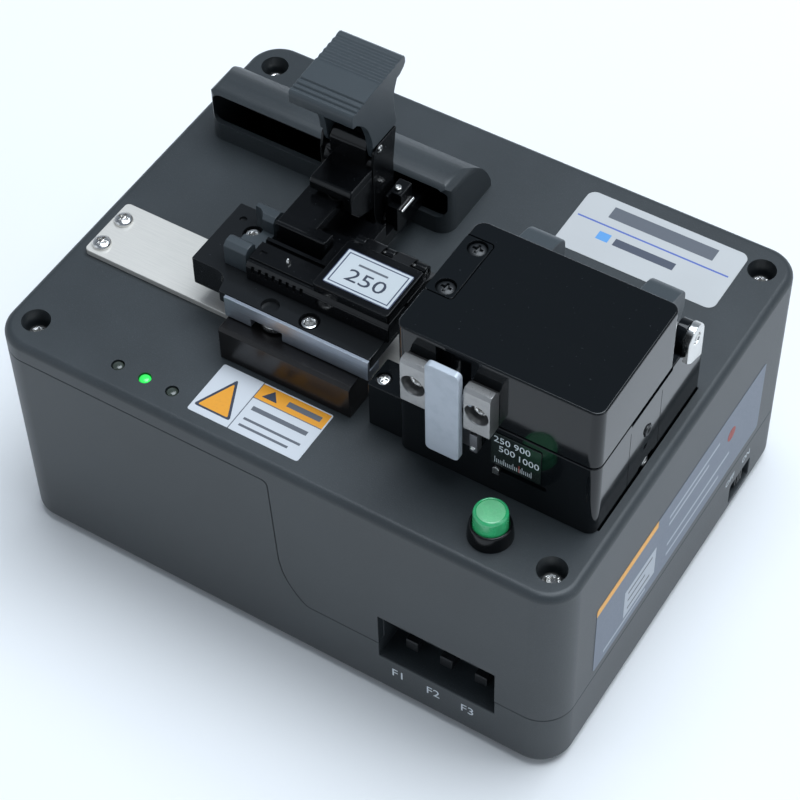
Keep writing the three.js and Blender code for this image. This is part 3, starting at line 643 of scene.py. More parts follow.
def joint_line(shift, far):
    """The step, moved along its diagonal by shift, closed at height far."""
    step = np.array([[-120, 74], [1, 74], [2.5, 40], [3.7, 34], [6.2, 29], [8.6, 25.8],
                     [11, 23.6], [120, 23.6]])
    return eased(np.vstack([step + shift, [[120, far], [-120, far]]]), 2.2, 5)


def at_bores(radius, low, high):
    return [rod("z", x, y, radius, low, high, steps=40) for x, y in BORES]


print("hollow block:", len(hollow_block().polygons), "faces")

# %% [markdown]
# The drive tunnel on the cover is what three outlines have in common: one seen from the side, one from the
# front and one from above. Its front is upright, its top is a ridge and its back slopes down. A slot along
# the front lets the carriage's bracket reach inside.

# %% Upper cover
def tunnel_outline(t, floor):
    """The tunnel seen from the side, shrunk by a wall t."""
    y = 25.3 + t
    return eased([[y, floor], [y, 97.2 - t], [y + 2.2, 98.9 - t], [31, 99.3 - t], [36, 98.3 - t],
                  [40 - t * 0.4, 96 - t * 0.9], [43.8 - t * 0.7, 92.4 - t * 0.7],
                  [47 - t * 0.9, 88 - t * 0.4], [49.3 - t, 83], [49.9 - t, floor]], 1.6, 4)


def upper_cover():
    shell = combined("INTERSECT", hollow_block(), slab("y", joint_line(0.15, 200), -100, 100, 0))
    front_view = np.vstack([arc(-4.6, 94.7, 4.6, 0, 90), arc(-77.4, 94.7, 4.6, 90, 180),
                            [[-82, 70], [0, 70]]])
    plan = slab("z", rounded(-82, 0, 25.3, 56, 4.6, 10), 79.6, 110, 0)
    side_view = slab("x", tunnel_outline(0, 70), -90, 9, 0)
    tunnel = combined("INTERSECT", side_view, slab("y", front_view, 20, 60, 0), plan)
    ribs = [box(-86, -83, 28, 46, 57, 79.6), box(2, 5, 24, 50, 52, 79.6)]
    solid = joined(shell, *at_bores(5.6, 58, 79.6), tunnel, *ribs)
    return cut(
        solid,
        *at_bores(4.15, BORE_SEAT, 82), *at_bores(1.8, 57, 74),
        slab("x", tunnel_outline(1.8, 76.6), -80.2, -1.8, 0),
        slab("y", rounded(-80.2, -1.1, 87, 97.7, 3.0, 8), 24, 29.5, 0),
        rod("x", DRIVE_Y, SCREW_Z, 2.3, -87, -82), rod("x", DRIVE_Y, SCREW_Z, 4.3, 1, 6),
        box(29.5, 85.9, -43, 12.5, 76, 82),
        box(POCKET["x0"], POCKET["x1"], -72, -66, 10, POCKET["z1"]),
        rod("z", *BUTTON, 5.5, 76, 82),
        *[rod("z", x, LIGHTS_Y, 1.9, 76, 82, steps=32) for x in LIGHTS_X],
        *[rod("z", *place, 1.6, 76, 82, steps=24) for place in STRIP_SCREWS],
        slab("y", rounded(52, 64, 31, 41, 1, 4), 65, 72, 0),
    )


piece("cover_moulding", upper_cover(), case_finish, "case", ["upper_cover"], 0.3, 3)
print("cover moulding", len(bpy.data.meshes["cover_moulding"].polygons), "faces")

# %% Lower base
KEYS_X, KEY_Z = (42.0, 53.0, 64.0), 21.6


def lower_base():
    x0, x1, z0, z1 = (POCKET[k] for k in ("x0", "x1", "z0", "z1"))
    shell = combined("INTERSECT", hollow_block(), slab("y", joint_line(-0.15, -50), -100, 100, 0))
    posts = [rod("z", x, y, 3, 3, 20, steps=24) for x in (-70, -13) for y in (-45, 13)]
    solid = joined(shell, *at_bores(4.6, 3, 57.7), *posts,
                   box(x0 - 2, x1 + 2, -66.4, -57, z0 - 2, z1 + 2),
                   box(x0 - 2, x1 + 2, -68.5, -66, z0 - 2, 23.45))
    holes = [slab("y", rounded(x - 2.3, x + 2.3, KEY_Z - 2.3, KEY_Z + 2.3, 0.5, 4), -60, -56, 0)
             for x in KEYS_X]
    return cut(solid, box(x0, x1, -72, -59, z0, z1), *holes, *at_bores(1.8, 40, 59),
               slab("x", rounded(35.5, 48.5, 6, 14, 0.8, 4), 87, 92, 0))


piece("base_moulding", lower_base(), case_finish, "case", ["lower_base"], 0.3, 3)
print("base moulding", len(bpy.data.meshes["base_moulding"].polygons), "faces")

# %% [markdown]
# Cap screws hold the cover down at the bottom of deep bores. A cap screw is a turned cylinder with a softened
# top edge and a six-sided socket. Smaller ones hold the carriage plate, and domed cross-head screws hold the
# steel strip and the small plate on the head.

# %% Screws
def cap_screw(axis, u, v, seat, head, height, shank, length):
    """The head runs from seat by height, which may be negative; the shank runs length the other way."""
    r, way = head / 2, 1 if height > 0 else -1
    top = seat + height
    body = turned(axis, u, v, [(0, seat - way * length), (shank / 2 - 0.2, seat - way * length),
                               (shank / 2, seat - way * (length - 0.3)), (shank / 2, seat), (r, seat),
                               (r, top - way * 0.35), (r - 0.1, top - way * 0.12), (r - 0.35, top), (0, top)])
    ends = sorted([seat + height * 0.42, top + way])
    flare = [(0, top - way * 0.25), (head * 0.25, top - way * 0.25), (head * 0.27 + 0.4, top + way * 0.2),
             (0, top + way * 0.2)]
    return cut(body, slab(axis, circle(u, v, head * 0.27, 6), *ends, 0), turned(axis, u, v, flare, 24))


def cross_screw(x, y, seat, head, height, shank, length):
    """A dome on a shank, with two crossed slots that narrow downwards."""
    r = head / 2
    t = np.linspace(0, np.pi / 2, 7)
    dome = [(r * math.cos(a), seat + height * (0.35 + 0.65 * math.sin(a))) for a in t]
    body = turned("z", x, y,
                  [(0, seat - length), (shank / 2, seat - length), (shank / 2, seat), (r, seat), *dome])
    arm, half, deep, top = r * 0.58, head * 0.075, seat + height * 0.3, seat + height + 1
    slots = [box(x - a, x + a, y - b, y + b, deep, top) for a, b in ((arm, half), (half, arm))]
    funnel = [(0, deep - 0.2), (half * 1.6, deep + 0.1), (half * 2.6, top), (0, top)]
    return cut(body, *slots, turned("z", x, y, funnel, 16))


for number, (x, y) in enumerate(BORES, 1):
    piece(f"cover_screw_{number}", cap_screw("z", x, y, BORE_SEAT, 5.5, 3, 3, 22), nickel_finish,
          "case", [f"case_screw_{number}"], 0.08)
for number, (x, y) in enumerate(PLATE_SCREWS, 1):
    piece(f"plate_cap_screw_{number}", cap_screw("z", x, y, 97.2, 4.5, 2.5, 2.4, 4),
          nickel_finish, "carriage", [f"carriage_screw_{number}"], 0.08)
for number, (x, y) in enumerate(STRIP_SCREWS, 1):
    piece(f"strip_screw_{number}", cross_screw(x, y, 82.65, 5.5, 1.7, 2.6, 7), nickel_finish,
          "case", [f"plate_screw_{number}"], 0.06)

# %% [markdown]
# ## Lights, button, keys and power slider
# These are the only parts that a finger touches often. The button is a turned ring with a turned cap in it.
# The lights are small domes just under the deck's face, and the keys are short square rods in a deep pocket.

# %% Lights and button
for number, x in enumerate(LIGHTS_X, 1):
    dome = turned("z", x, LIGHTS_Y, [(0, 73.6), (2.6, 73.6), (2.6, 77.9), (1.7, 77.9),
                                     (1.7, 80.0), (1.5, 80.35), (1.0, 80.6), (0, 80.7)], 32)
    piece(f"status_light_{number}", dome, lens_on_finish if number == 2 else lens_finish, "case",
          [f"light_pipe_{number}"], 0)

ring = turned("z", *BUTTON, [(0, 71), (5.3, 71), (5.3, DECK), (6.2, DECK), (6.15, 81.6),
                             (6.0, 83.4), (5.7, 85.2), (5.5, 85.65), (5.2, 85.8), (0, 85.8)], 64)
piece("button_ring", cut(ring, rod("z", *BUTTON, 4.95, 70, 87)), satin_finish, "case",
      ["button_bezel"], 0.12)
cap = turned("z", *BUTTON, [(0, 73), (4.65, 73), (4.65, 89.7), (4.55, 90.2), (4.3, 90.55), (4.05, 90.65),
                            (3.9, 90.6), (3.8, 90.3), (0, 90.3)], 64)
piece("green_button_cap", cap, cap_finish, "start_button", ["button_cap"], 0)
disc = turned("z", *BUTTON, [(0, 90.2), (3.75, 90.2), (3.75, 90.4), (3.5, 90.5), (0, 90.55)], 48)
piece("green_button_disc", disc, disc_finish, "start_button", (), 0)

# %% Keys, power slider and inlet
for number, x in enumerate(KEYS_X, 1):
    stem = slab("y", rounded(x - 2, x + 2, KEY_Z - 2, KEY_Z + 2, 0.35, 4), -64.3, -55.7, 0.3, 3)
    flange = slab("y", rounded(x - 3, x + 3, KEY_Z - 3, KEY_Z + 3, 0.3, 3), -55.7, -54.5, 0.1, 2)
    piece(f"setting_key_rod_{number}", joined(stem, flange), black_finish, f"setting_key_{number}",
          [f"key_f{number}"], 0)

ridges = [slab("x", rounded(y - 0.3, y + 0.3, 7.6, 12.4, 0.25, 3), 89.2, 89.75, 0.1, 2)
          for y in (42.2, 43.3, 44.4)]
knob = slab("x", rounded(41, 45.6, 7.2, 12.8, 0.6, 4), 87.2, 89.4, 0.25, 3)
piece("power_knob", joined(knob, box(85.6, 87.4, 32, 52, 4.8, 15.2), *ridges), black_finish, "slider",
      ["power_slider"], 0.08)

socket = joined(slab("y", rounded(52.3, 63.7, 31.3, 40.7, 0.8, 4), 57, 69, 0.2),
                box(50, 66, 62, 66.6, 29, 43, 0.2))
piece("power_socket", cut(socket, rod("y", 58, 36, 3.2, 60, 72)), black_finish, "case",
      ["dc_jack"], 0.15)
piece("socket_pin", turned("y", 58, 36, [(0, 60), (1.0, 60), (1.0, 67.2), (0.7, 67.7), (0, 67.8)], 24),
      nickel_finish, "case", (), 0)

# %% [markdown]
# ## Running strip and guide
# A thin steel strip is screwed to the deck, and the carriage travels over it. The dark block in front guides
# the carriage's rail. Both are plain bars, so what makes them real is the finish and the fine bevel of each
# edge.

# %% Strip and guide block
strip = slab("z", rounded(-85, 14, -32.2, -11.3, 1.5, 6), DECK, 82.65, 0.2, 2)
strip = cut(strip, *[rod("z", *place, 1.6, 80, 84, steps=24) for place in STRIP_SCREWS])
piece("running_strip", strip, steel_finish, "case", ["steel_plate"], 0.1)
guide = slab("x", [[-44.2, DECK], [-32.8, DECK], [-32.8, 92.4], [-43.2, 92.4], [-44.2, 91.6]],
             -30.3, 11.5, 0.25, 2)
piece("guide_bar", guide, guide_finish, "case", ["guide_block"], 0.1)
print("strip and guide bar")

# %% [markdown]
# ## Drive
# A motor in the case turns a lead screw, whose nut is part of the bracket that reaches through the tunnel's
# slot. The thread is one surface: the radius falls and rises with the angle plus the distance along the screw
# divided by the pitch, so its ridge climbs as a helix.

# %% Lead screw
def thread(axis_y, axis_z, start, end, radius=3.0, depth=0.45, pitch=4.0, around=32, per_turn=16):
    """r = radius - depth fade (1 - cos(2 pi x / pitch - angle)) / 2, where fade runs out at both ends."""
    x = np.linspace(start, end, int((end - start) / pitch * per_turn))[:, None]
    angle = np.linspace(0, 2 * np.pi, around, endpoint=False)[None]
    fade = np.clip(np.minimum(x - start, end - x) / 2, 0, 1)
    r = radius - depth * fade * (1 - np.cos(2 * np.pi * x / pitch - angle)) / 2
    rows = np.stack([x + 0 * angle, axis_y + r * np.cos(angle), axis_z + r * np.sin(angle)], -1)
    return skinned(rows)


screw = together(thread(DRIVE_Y, SCREW_Z, -82.6, 3), rod("x", DRIVE_Y, SCREW_Z, 2, -86, -82.7, 0.2))
piece("threaded_screw", screw, steel_finish, "screw", ["lead_screw"], 0)
piece("slide_shaft", rod("x", DRIVE_Y, SHAFT_Z, 2.5, -80.2, -1.8, 0.3), nickel_finish, "case",
      ["guide_shaft"], 0)
motor = joined(slab("x", rounded(26.5, 47.5, 54, 78, 3, 6), 5, 32, 0.5),
               rod("x", DRIVE_Y, SCREW_Z, 4, 3.2, 6, 0.2), rod("x", DRIVE_Y, SCREW_Z, 3, 31, 35, 0.3))
piece("motor_can", motor, motor_finish, "case", ["drive_motor"], 0.1)

# %% Circuit board
def board_green():
    """Copper tracks show as a slightly paler square grid under the green film."""
    f = Finish("board_green")
    waves = [f.node("ShaderNodeMath", {"operation": "SINE"}, {0: f.axis(k) * 1400}) for k in (0, 1)]
    tracks = f.between(waves[0] * waves[1], 0.1, 0.5)
    return f.done(Base_Color=f.blend(tracks, (0.012, 0.09, 0.04), (0.03, 0.16, 0.07)),
                  Roughness=tracks * 0.1 + 0.35, Normal=f.bump(tracks, 0.2, 0.00005))


chips = [box(x, x + w, y, y + d, 21.6, 21.6 + h, 0.1) for x, w, y, d, h in
         [(-60, 12, -30, 12, 1.6), (-40, 8, -20, 8, 1.4), (-58, 5, 0, 7, 5), (-30, 14, -40, 6, 8),
          (-24, 7, 2, 7, 3)]]
piece("main_board", box(-75, -8, -50, 18, 20, 21.6, 0.1), board_green(), "case",
      ["circuit_board"], 0)
piece("board_chips", together(*chips), black_finish, "case", (), 0)
print("board with", len(chips), "parts")

# %% [markdown]
# ## Carriage
# The carriage is a brown-black plate with a bright steel rail under its front edge. A notch in the rail shows
# the roller that runs along the guide bar. The bracket behind it passes through the tunnel's slot to the nut.

# %% Carriage plate and rail
def carriage_plate():
    outline = np.vstack([[[-46.5, -8], [-46.5, -32], [-38.8, -32]], arc(-38, -36.2, 4, 84, 14, 8),
                         [[-33.4, -38.2], [14.3, -38.2], [14.3, -10], [12.3, -8]]])
    body = joined(slab("z", eased(outline, 0.5, 3), 96, 100, 0.3, 2), box(-46.5, -35.5, -32, -8, 90, 97, 0.4))
    return cut(body, *[rod("z", *place, 2.95, 97.2, 101) for place in PLATE_SCREWS],
               *[rod("z", *place, 1.4, 80, 99, steps=24) for place in PLATE_SCREWS],
               rod("z", -42.4, -13.0, 1.1, 99.2, 101, steps=24), rod("z", -18.5, -35.6, 2.6, 98.6, 101))


piece("sliding_plate", carriage_plate(), plate_finish, "carriage", ["carriage_plate"], 0.2)

rail = [[-39.4, 92.8], [-34, 92.8], [-34, 95.9], [-38.4, 95.9], [-38.4, 100], [-39.4, 100]]
rail = cut(slab("x", rail, -31, 14.5, 0.15, 2), box(-22.6, -12.6, -41, -30, 91.8, 95.9),
           rod("z", *PLATE_SCREWS[1], 1.6, 91, 97, steps=24))
piece("bright_rail", rail, rail_finish, "carriage", ["carriage_rail"], 0.12)
roller = turned("z", -17.6, -34.6, [(0, 93), (3.9, 93), (4.4, 93.3), (4.5, 93.6), (4.5, 94.8), (4.4, 95.1),
                                    (3.9, 95.4), (2.6, 95.4), (2.5, 95.2), (1.5, 95.2),
                                    (1.5, 96), (0, 96)], 48)
piece("ball_roller", roller, nickel_finish, "carriage", ["guide_roller"], 0)

# %% Drive bracket
PIVOT = (14.2, 92.6)  # (y, z) of the clamp arm's pivot


def drive_bracket():
    """Foot, tongue, nut block, hinge block for the arm and the small post beside it, with their bores."""
    body = joined(box(-31, -9.5, -12, 8, 91.6, 96, 0.2), box(-31, -9.5, 5, 41, 87.6, 91.6, 0.2),
                  box(-28, -6, 32.5, 41, 59, 91.6, 0.3), box(-27.8, -16.2, 9.8, 18.6, 90, 97, 0.2),
                  box(-12.6, -8.6, 12.5, 20.5, 90, 102.4, 0.4))
    return cut(body, box(-32, -27.8, 7, 21.5, 85, 98), box(-16.2, -12.8, 7, 21.5, 85, 98),
               rod("x", *PIVOT, 1.6, -32, -12), rod("x", DRIVE_Y, SHAFT_Z, 2.8, -40, 0),
               rod("x", DRIVE_Y, SCREW_Z, 3.3, -40, 0), box(-11.6, -8, 11, 14.6, 99, 103))


piece("nut_bracket", drive_bracket(), satin_finish, "carriage", ["drive_bracket"], 0.15)
post_screw = cap_screw("z", -10.7, 16.6, 102.3, 2.0, 1.0, 1.2, 2)
piece("post_screw", post_screw, nickel_finish, "carriage", (), 0.05)
piece("post_pin", rod("y", -8.2, 96.9, 0.45, 14.0, 20.3, 0.15, 20), nickel_finish, "carriage",
      (), 0)

# %% [markdown]
# ## Clamp arm and thumb lever
# Pressing the ribbed pad rocks the lever on its pin and lifts the presser off the fibre. The arm is a block
# with two thin cheeks, a nose for the lever's pin and a shelf that holds the presser. The pad's upper side is
# a height worked out along its depth: a slope with three sharp grooves in front and a row of soft waves
# behind.

# %% Clamp arm
LEVER_PIN = (12.3, 120.0)  # (y, z) of the lever's pin
STEM = (-20.5, 2)  # (x, y) of the presser's stem


def clamp_arm():
    outline = np.vstack([arc(*PIVOT, 4.4, 180, 360, 16),
                         [[19, 97], [19, 110], [20.6, 121.2], [14, 118.2], [9.8, 116.2],
                          [8.6, 112], [8.6, 97]]])
    body = slab("x", eased(outline, 0.9, 3), -30.5, -13.5, 0.3, 2)
    cheek = eased([[8.6, 111], [19, 111], [20.7, 121.8], [12, 121.8], [9.6, 120.6], [8.6, 116]], 0.5, 3)
    cheeks = [slab("x", cheek, a, a + 0.8, 0.12, 2) for a in (-30.5, -14.3)]
    nose = slab("x", eased([[9.4, 112], [17, 112], [17, 121.6], [15.8, 122.8], [11.4, 122.8],
                            [9.4, 120.6]], 1.0, 5),
                -27.9, -16.1, 0.4, 3)
    shelf = slab("x", eased([[12, 112.2], [-1.2, 112.2], [-1.2, 111.2], [-2.5, 111.2], [-2.5, 114],
                             [-1.4, 115], [12, 115]], 0.5, 4), -27, -13.8, 0.35, 3)
    skirt = slab("x", eased([[-2.3, 112.4], [-2.3, 107.4], [1.4, 102.8], [8.8, 100], [8.8, 112.4]], 0.5, 3),
                 -16.4, -13.8, 0.3, 3)
    return cut(joined(body, *cheeks, nose, shelf, skirt), box(-28.2, -15.8, 5, 22, 86, 98.6),
               rod("x", *PIVOT, 1.6, -32, -12), rod("x", *LEVER_PIN, 1.4, -32, -12),
               rod("z", *STEM, 1.8, 110, 114.4))


piece("fork_arm", clamp_arm(), satin_finish, "arm", ["clamp_arm"], 0.2)


def pin(axis, u, v, radius, low, high):
    """A pin with a domed end and a small centre mark at each face."""
    r, c = radius, radius * 0.3
    return turned(axis, u, v, [(0, low + 0.12), (c, low + 0.1), (c, low), (r * 0.75, low),
                               (r, low + r * 0.25), (r, high - r * 0.25), (r * 0.75, high),
                               (c, high), (c, high - 0.1), (0, high - 0.12)], 32)


piece("arm_pin", pin("x", *PIVOT, 1.4, -30.9, -13.1), nickel_finish, "carriage", ["pivot_pin"], 0)
piece("lever_axle", pin("x", *LEVER_PIN, 1.2, -30.8, -13.2), nickel_finish, "arm", ["lever_pin"], 0)

# %% Thumb lever
def pad_outline():
    """The pad's outline, whose top is the slope 141.95 + 0.066 y with marks in it.

    Each groove takes away 0.45 max(0, 1 - distance / 0.38), and a small lip in front of it adds a tenth. The
    waves take away 0.17 (1 - cos(2 pi (y - 13) / 2.16)) from y = 13 to 23.8.
    """
    y = np.linspace(0.4, 24.8, 260)
    grooves = sum(0.45 * np.clip(1 - np.abs(y - g) / 0.38, 0, 1) -
                  0.10 * np.clip(1 - np.abs(y - g + 0.7) / 0.3, 0, 1) for g in (1.7, 3.4, 5.4))
    waves = np.where((y > 13) & (y < 23.8), 0.17 * (1 - np.cos(2 * np.pi * (y - 13) / 2.16)), 0)
    top = np.stack([y, 141.95 + 0.066 * y - grooves - waves], 1)[::-1]
    front = [[-0.15, 141.5], [-0.4, 140.6], [-0.4, 138.2], [0.1, 137.5]]
    under = [[3, 137], [10, 137.3], [18, 137.8], [23.2, 138.4]]
    back = [[25.2, 139.7], [26, 140.8], [26, 142.2], [25.6, 143.1]]
    return np.vstack([top, front, under, back])


def thumb_lever():
    """Two webs and a back wall carry the pad; the rebates thin the webs beside the arm's cheeks."""
    web = eased([[1.4, 140.6], [23, 142], [22.4, 139], [20.1, 134], [20.3, 129], [21.2, 123.2], [17.5, 120.6],
                 [12.8, 118.0], [10.2, 117.6], [9.4, 120], [8.6, 126.5], [6.8, 131.6], [4.4, 134.9],
                 [1.6, 137.2]], 1.6, 6)
    webs = [slab("x", web, a, b, 0.2, 2) for a, b in ((-30.42, -28.3), (-15.7, -13.58))]
    wall = eased([[19.2, 139], [22, 140], [20.0, 134], [20.2, 129], [19.4, 126], [17.6, 129],
                  [17.8, 134]], 0.8, 4)
    pad = slab("x", pad_outline(), -33.5, -13.5, 0.12, 1)
    rebates = [box(a, a + 2, 6, 24, 110, 122.6) for a in (-31.5, -14.5)]
    return cut(joined(pad, *webs, slab("x", wall, -29, -15, 0)),
               rod("x", *LEVER_PIN, 1.4, -32, -12), *rebates)


piece("ribbed_lever", thumb_lever(), grip_finish, "lever", ["thumb_lever"], 0.12)
print("lever:", len(bpy.data.meshes["ribbed_lever"].polygons), "faces")

# %% [markdown]
# Under the arm hangs the presser, a plate on a stem, and its spring. A spring is a circle carried along a
# helix: the helix is (r cos t, r sin t, rise t), and the circle stands square to the direction of travel. The
# coil rides on the arm.

# %% Presser and spring
def swept(path, radius, sides=10):
    """Circle points = path + radius (cos a N + sin a B), with T along the path, N = T x up and B = T x N."""
    tangent = np.gradient(path, axis=0)
    tangent /= np.linalg.norm(tangent, axis=1)[:, None]
    normal = np.cross(tangent, [0, 0, 1.0])
    normal /= np.linalg.norm(normal, axis=1)[:, None]
    binormal = np.cross(tangent, normal)
    a = np.linspace(0, 2 * np.pi, sides, endpoint=False)[None, :, None]
    return skinned(path[:, None] + radius * (np.cos(a) * normal[:, None] + np.sin(a) * binormal[:, None]))


def spring(x, y, z, radius, rise, turns, wire):
    t = np.linspace(0, 1, int(turns * 32))
    angle = 2 * np.pi * turns * t
    return swept(np.stack([x + radius * np.cos(angle), y + radius * np.sin(angle), z + rise * t], 1), wire)


shoe = slab("x", eased([[-17.2, 102.4], [-12.6, 102.4], [-12.6, 109.3], [-13.2, 109.6], [-15.8, 109.5],
                        [-16.2, 110.0], [-16.9, 110.0], [-17.2, 109.7]], 0.25, 3), -28.6, -12.9, 0.25, 3)
blade = slab("x", eased([[6.5, 107], [6.5, 109.6], [-13.5, 109.6], [-13.5, 107]], 0.3, 3),
             -28.6, -17.6, 0.2, 2)
rib = box(-18.1, -17.6, -13.5, -3, 108, 110.0, 0.12)
stem = turned("z", *STEM, [(0, 109), (1.5, 109), (1.5, 112.2), (1.2, 112.5), (0, 112.5)], 32)
presser = joined(shoe, blade, rib, stem)
piece("presser_shoe", presser, satin_finish, "presser", ["presser_plate"], 0.15)
piece("presser_coil", spring(*STEM, 110.0, 2.7, 1.6, 2, 0.32), nickel_finish, "arm",
      ["presser_spring"], 0)
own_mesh(bpy.data.objects["presser_coil"])

# %% [markdown]
# ## Fibre holder
# The holder lies on the carriage. Its low body has a groove for the fibre, a row of small teeth along its
# front edge, and hinge knuckles for a lid that carries the printed fibre size. Two square jaws on its left
# keep the fibre straight.

# %% Holder
FIBRE_Y = -21.7
HINGE_KNUCKLES = ((-4.5, 1.0), (4.6, 10.2))  # x spans of the lid's knuckles
LID_AXIS = (-8.6, 106.0)  # (y, z) of the lid's hinge

jaw_profiles = [eased([[a, 102], [b, 102], [b, 106.8], [b - 1.3, 108], [a + 1.3, 108], [a, 106.8]], 0.25, 2)
                for a, b in ((-29, -24.2), (-15.6, -10.4))]
jaws = cut(joined(box(-37.6, -30.3, -29, -10.4, 100, 102.6, 0.2),
                  *[slab("x", outline, -37.6, -30.3, 0.25, 2) for outline in jaw_profiles]),
           rod("z", *PLATE_SCREWS[0], 3.1, 99, 109))
piece("fibre_jaws", jaws, grip_finish, "carriage", ["cord_guide"], 0.15)


def holder_body():
    hy, hz = LID_AXIS
    side_view = [[-30.8, 100], [-5.5, 100], [-5.5, 103], [-12, 106.4], [-29.6, 106.4], [-30.8, 105.2]]
    body = slab("x", eased(side_view, 0.4, 3), -29.3, 15.5, 0.3, 3)
    raised = box(-29.3, -8.8, -28.8, -22.4, 105.9, 107.0, 0.25)
    ears = [slab("x", np.vstack([arc(hy, hz, 1.9, 0, 180, 12),
                                 [[hy - 1.9, 103], [hy + 1.9, 103]]]), a, b, 0.2, 2)
            for a, b in ((-8, -5), (1.5, 4.1), (10.7, 14))]
    solid = joined(body, raised, *ears)
    clear = [rod("x", hy, hz, 2.7, a - 0.4, b + 0.4) for a, b in HINGE_KNUCKLES]
    swing = [box(a - 0.4, b + 0.4, hy - 5, hy, hz - 1.2, hz + 4) for a, b in HINGE_KNUCKLES]
    teeth = [box(x, x + 1.0, -31.5, -30.2, 103.4, 105.6) for x in np.arange(-27.5, -10, 2.2)]
    window = box(-27.6, -25.6, -27.0, -25.2, 106.6, 107.6)
    shoe_room = box(-30.3, -12.3, -19.8, 0, 101.8, 108)
    return cut(solid, box(-31, 17, FIBRE_Y - 0.8, FIBRE_Y + 0.8, 105.2, 108), *clear, *swing,
               rod("x", hy, hz, 1.05, -9, 15, steps=24), *teeth, window, shoe_room)


piece("holder_moulding", holder_body(), satin_finish, "carriage", ["holder_body"], 0.18)


def holder_lid():
    hy, hz = LID_AXIS
    body = slab("z", rounded(-8.2, 15.3, -30.4, -12.2, 0.9, 5), 106.8, 110, 0.35, 3)
    knuckle = np.vstack([[[-13.2, 107.2], [hy - 2, 106.8]], arc(hy, hz, 2.2, 200, 450, 20), [[-13.2, 109.4]]])
    lugs = [slab("x", knuckle, a, b, 0.25, 2) for a, b in HINGE_KNUCKLES]
    return cut(joined(body, *lugs), rod("x", hy, hz, 1.05, -9, 15, steps=24))


piece("holder_cover_plate", holder_lid(), satin_finish, "holder_cover", ["holder_lid"], 0.15)
piece("holder_pin", rod("x", *LID_AXIS, 0.9, -7.8, 13.8, 0.2, 24), nickel_finish, "carriage",
      ["holder_hinge_pin"], 0)
tip = turned("z", -19.0, -25.4, [(0, 107.0), (0.75, 107.0), (0.72, 107.5), (0.3, 108.4), (0, 108.7)], 24)
piece("guide_tip", tip, nickel_finish, "carriage", (), 0)

# %% [markdown]
# ## Stripping head
# The head is two polished blocks. The lower one stands on the deck and holds the heater and the lower blade.
# The upper one is a lid with the other blade, hinged at the back. Their faces must stay flat, since a mirror
# shows every dent, so they are plain slabs with fine rims, and only the pockets are cut.

# %% Head base
HEAD = dict(x0=27, x1=85.5, y0=-45.5, split=107.3, top=129, rear=14.8)  # y0 is the front face
HEAD_HINGE = (6.0, 107.5)  # (y, z) of the hinge pin
LUGS = ((33, 43), (69, 78.5))  # x spans of the lid's two hinge lugs


def head_base():
    hy, hz = HEAD_HINGE
    x0, x1, y0, split = HEAD["x0"], HEAD["x1"], HEAD["y0"], HEAD["split"]
    block = slab("z", rounded(x0, x1, y0, HEAD["rear"], 3, 10), DECK, split, 0.35, 3)
    block = cut(block,
                slab("x", [[-1.6, 109], [-1.6, 107], [13.6, 93], [16, 92], [16, 109]], x0 - 1, x1 + 1, 0))
    ears = [slab("x", np.vstack([arc(hy, hz, 4, 0, 180, 16), [[hy - 4, 95], [hy + 4, 95]]]), a, b, 0.25, 2)
            for a, b in ((46, 66.5), (81, 84))]
    solid = joined(block, slab("z", rounded(x0 + 4, 83, y0 + 4, 10.5, 2, 4), 62, 81, 0),
                   box(16.6, 31, -43, -33, DECK, 97, 0.4), *ears)
    seams = [box(85.2, 86, y - 0.12, y + 0.12, 80.2, 103.7) for y in (-27.6, -10.8)]
    return cut(
        solid,
        *[rod("x", hy, hz, 12.4, a - 0.5, b + 0.5) for a, b in LUGS],
        box(35, 72, -32, -12, 88, 109), box(26, 36, FIBRE_Y - 1.5, FIBRE_Y + 1.5, 105, 109),
        rod("x", hy, hz, 2.3, x0 - 1, x1 + 1),
        slab("y", rounded(56, 71.5, 90.1, 91.7, 0.6, 4), -46.5, -42, 0),
        *seams, box(84.6, 86, -27.6, -5.5, 106.1, 108), box(84.3, 86, -21.5, -13.5, 80.2, 82.6),
        rod("x", -18.3, 88.7, 0.9, 83, 86, steps=32), rod("x", -17.9, 95, 2.0, 85.0, 86, steps=32),
        rod("z", 19.5, -39.5, 2.3, 96.2, 98),
    )


piece("head_block", head_base(), gloss_finish, "case", ["head_base"], 0.25, 3)
piece("side_screw_high", cap_screw("x", -17.9, 95, 85.0, 3.4, 1.0, 1.6, 2), black_finish, "case",
      (), 0.05)
piece("side_screw_low", cap_screw("x", -17.5, 81.4, 85.0, 3.4, 0.6, 1.6, 2), nickel_finish, "case",
      (), 0.05)
piece("step_screw", cross_screw(19.5, -39.5, 96.2, 4.0, 1.0, 1.8, 3), nickel_finish, "case",
      (), 0.05)

# %% Head lid
LATCH_BLOCKS = ((31.2, 38.9), (49.6, 57.4))  # x spans of the nickel blocks
LATCH_SCREW_Z, LATCH_AXLE = 114.6, (-48.2, 115.2)  # the blocks' screws, and (y, z) of the latch's axle
ENTRY_SCREWS = ((31.8, -12.9), (31.6, -28.2))


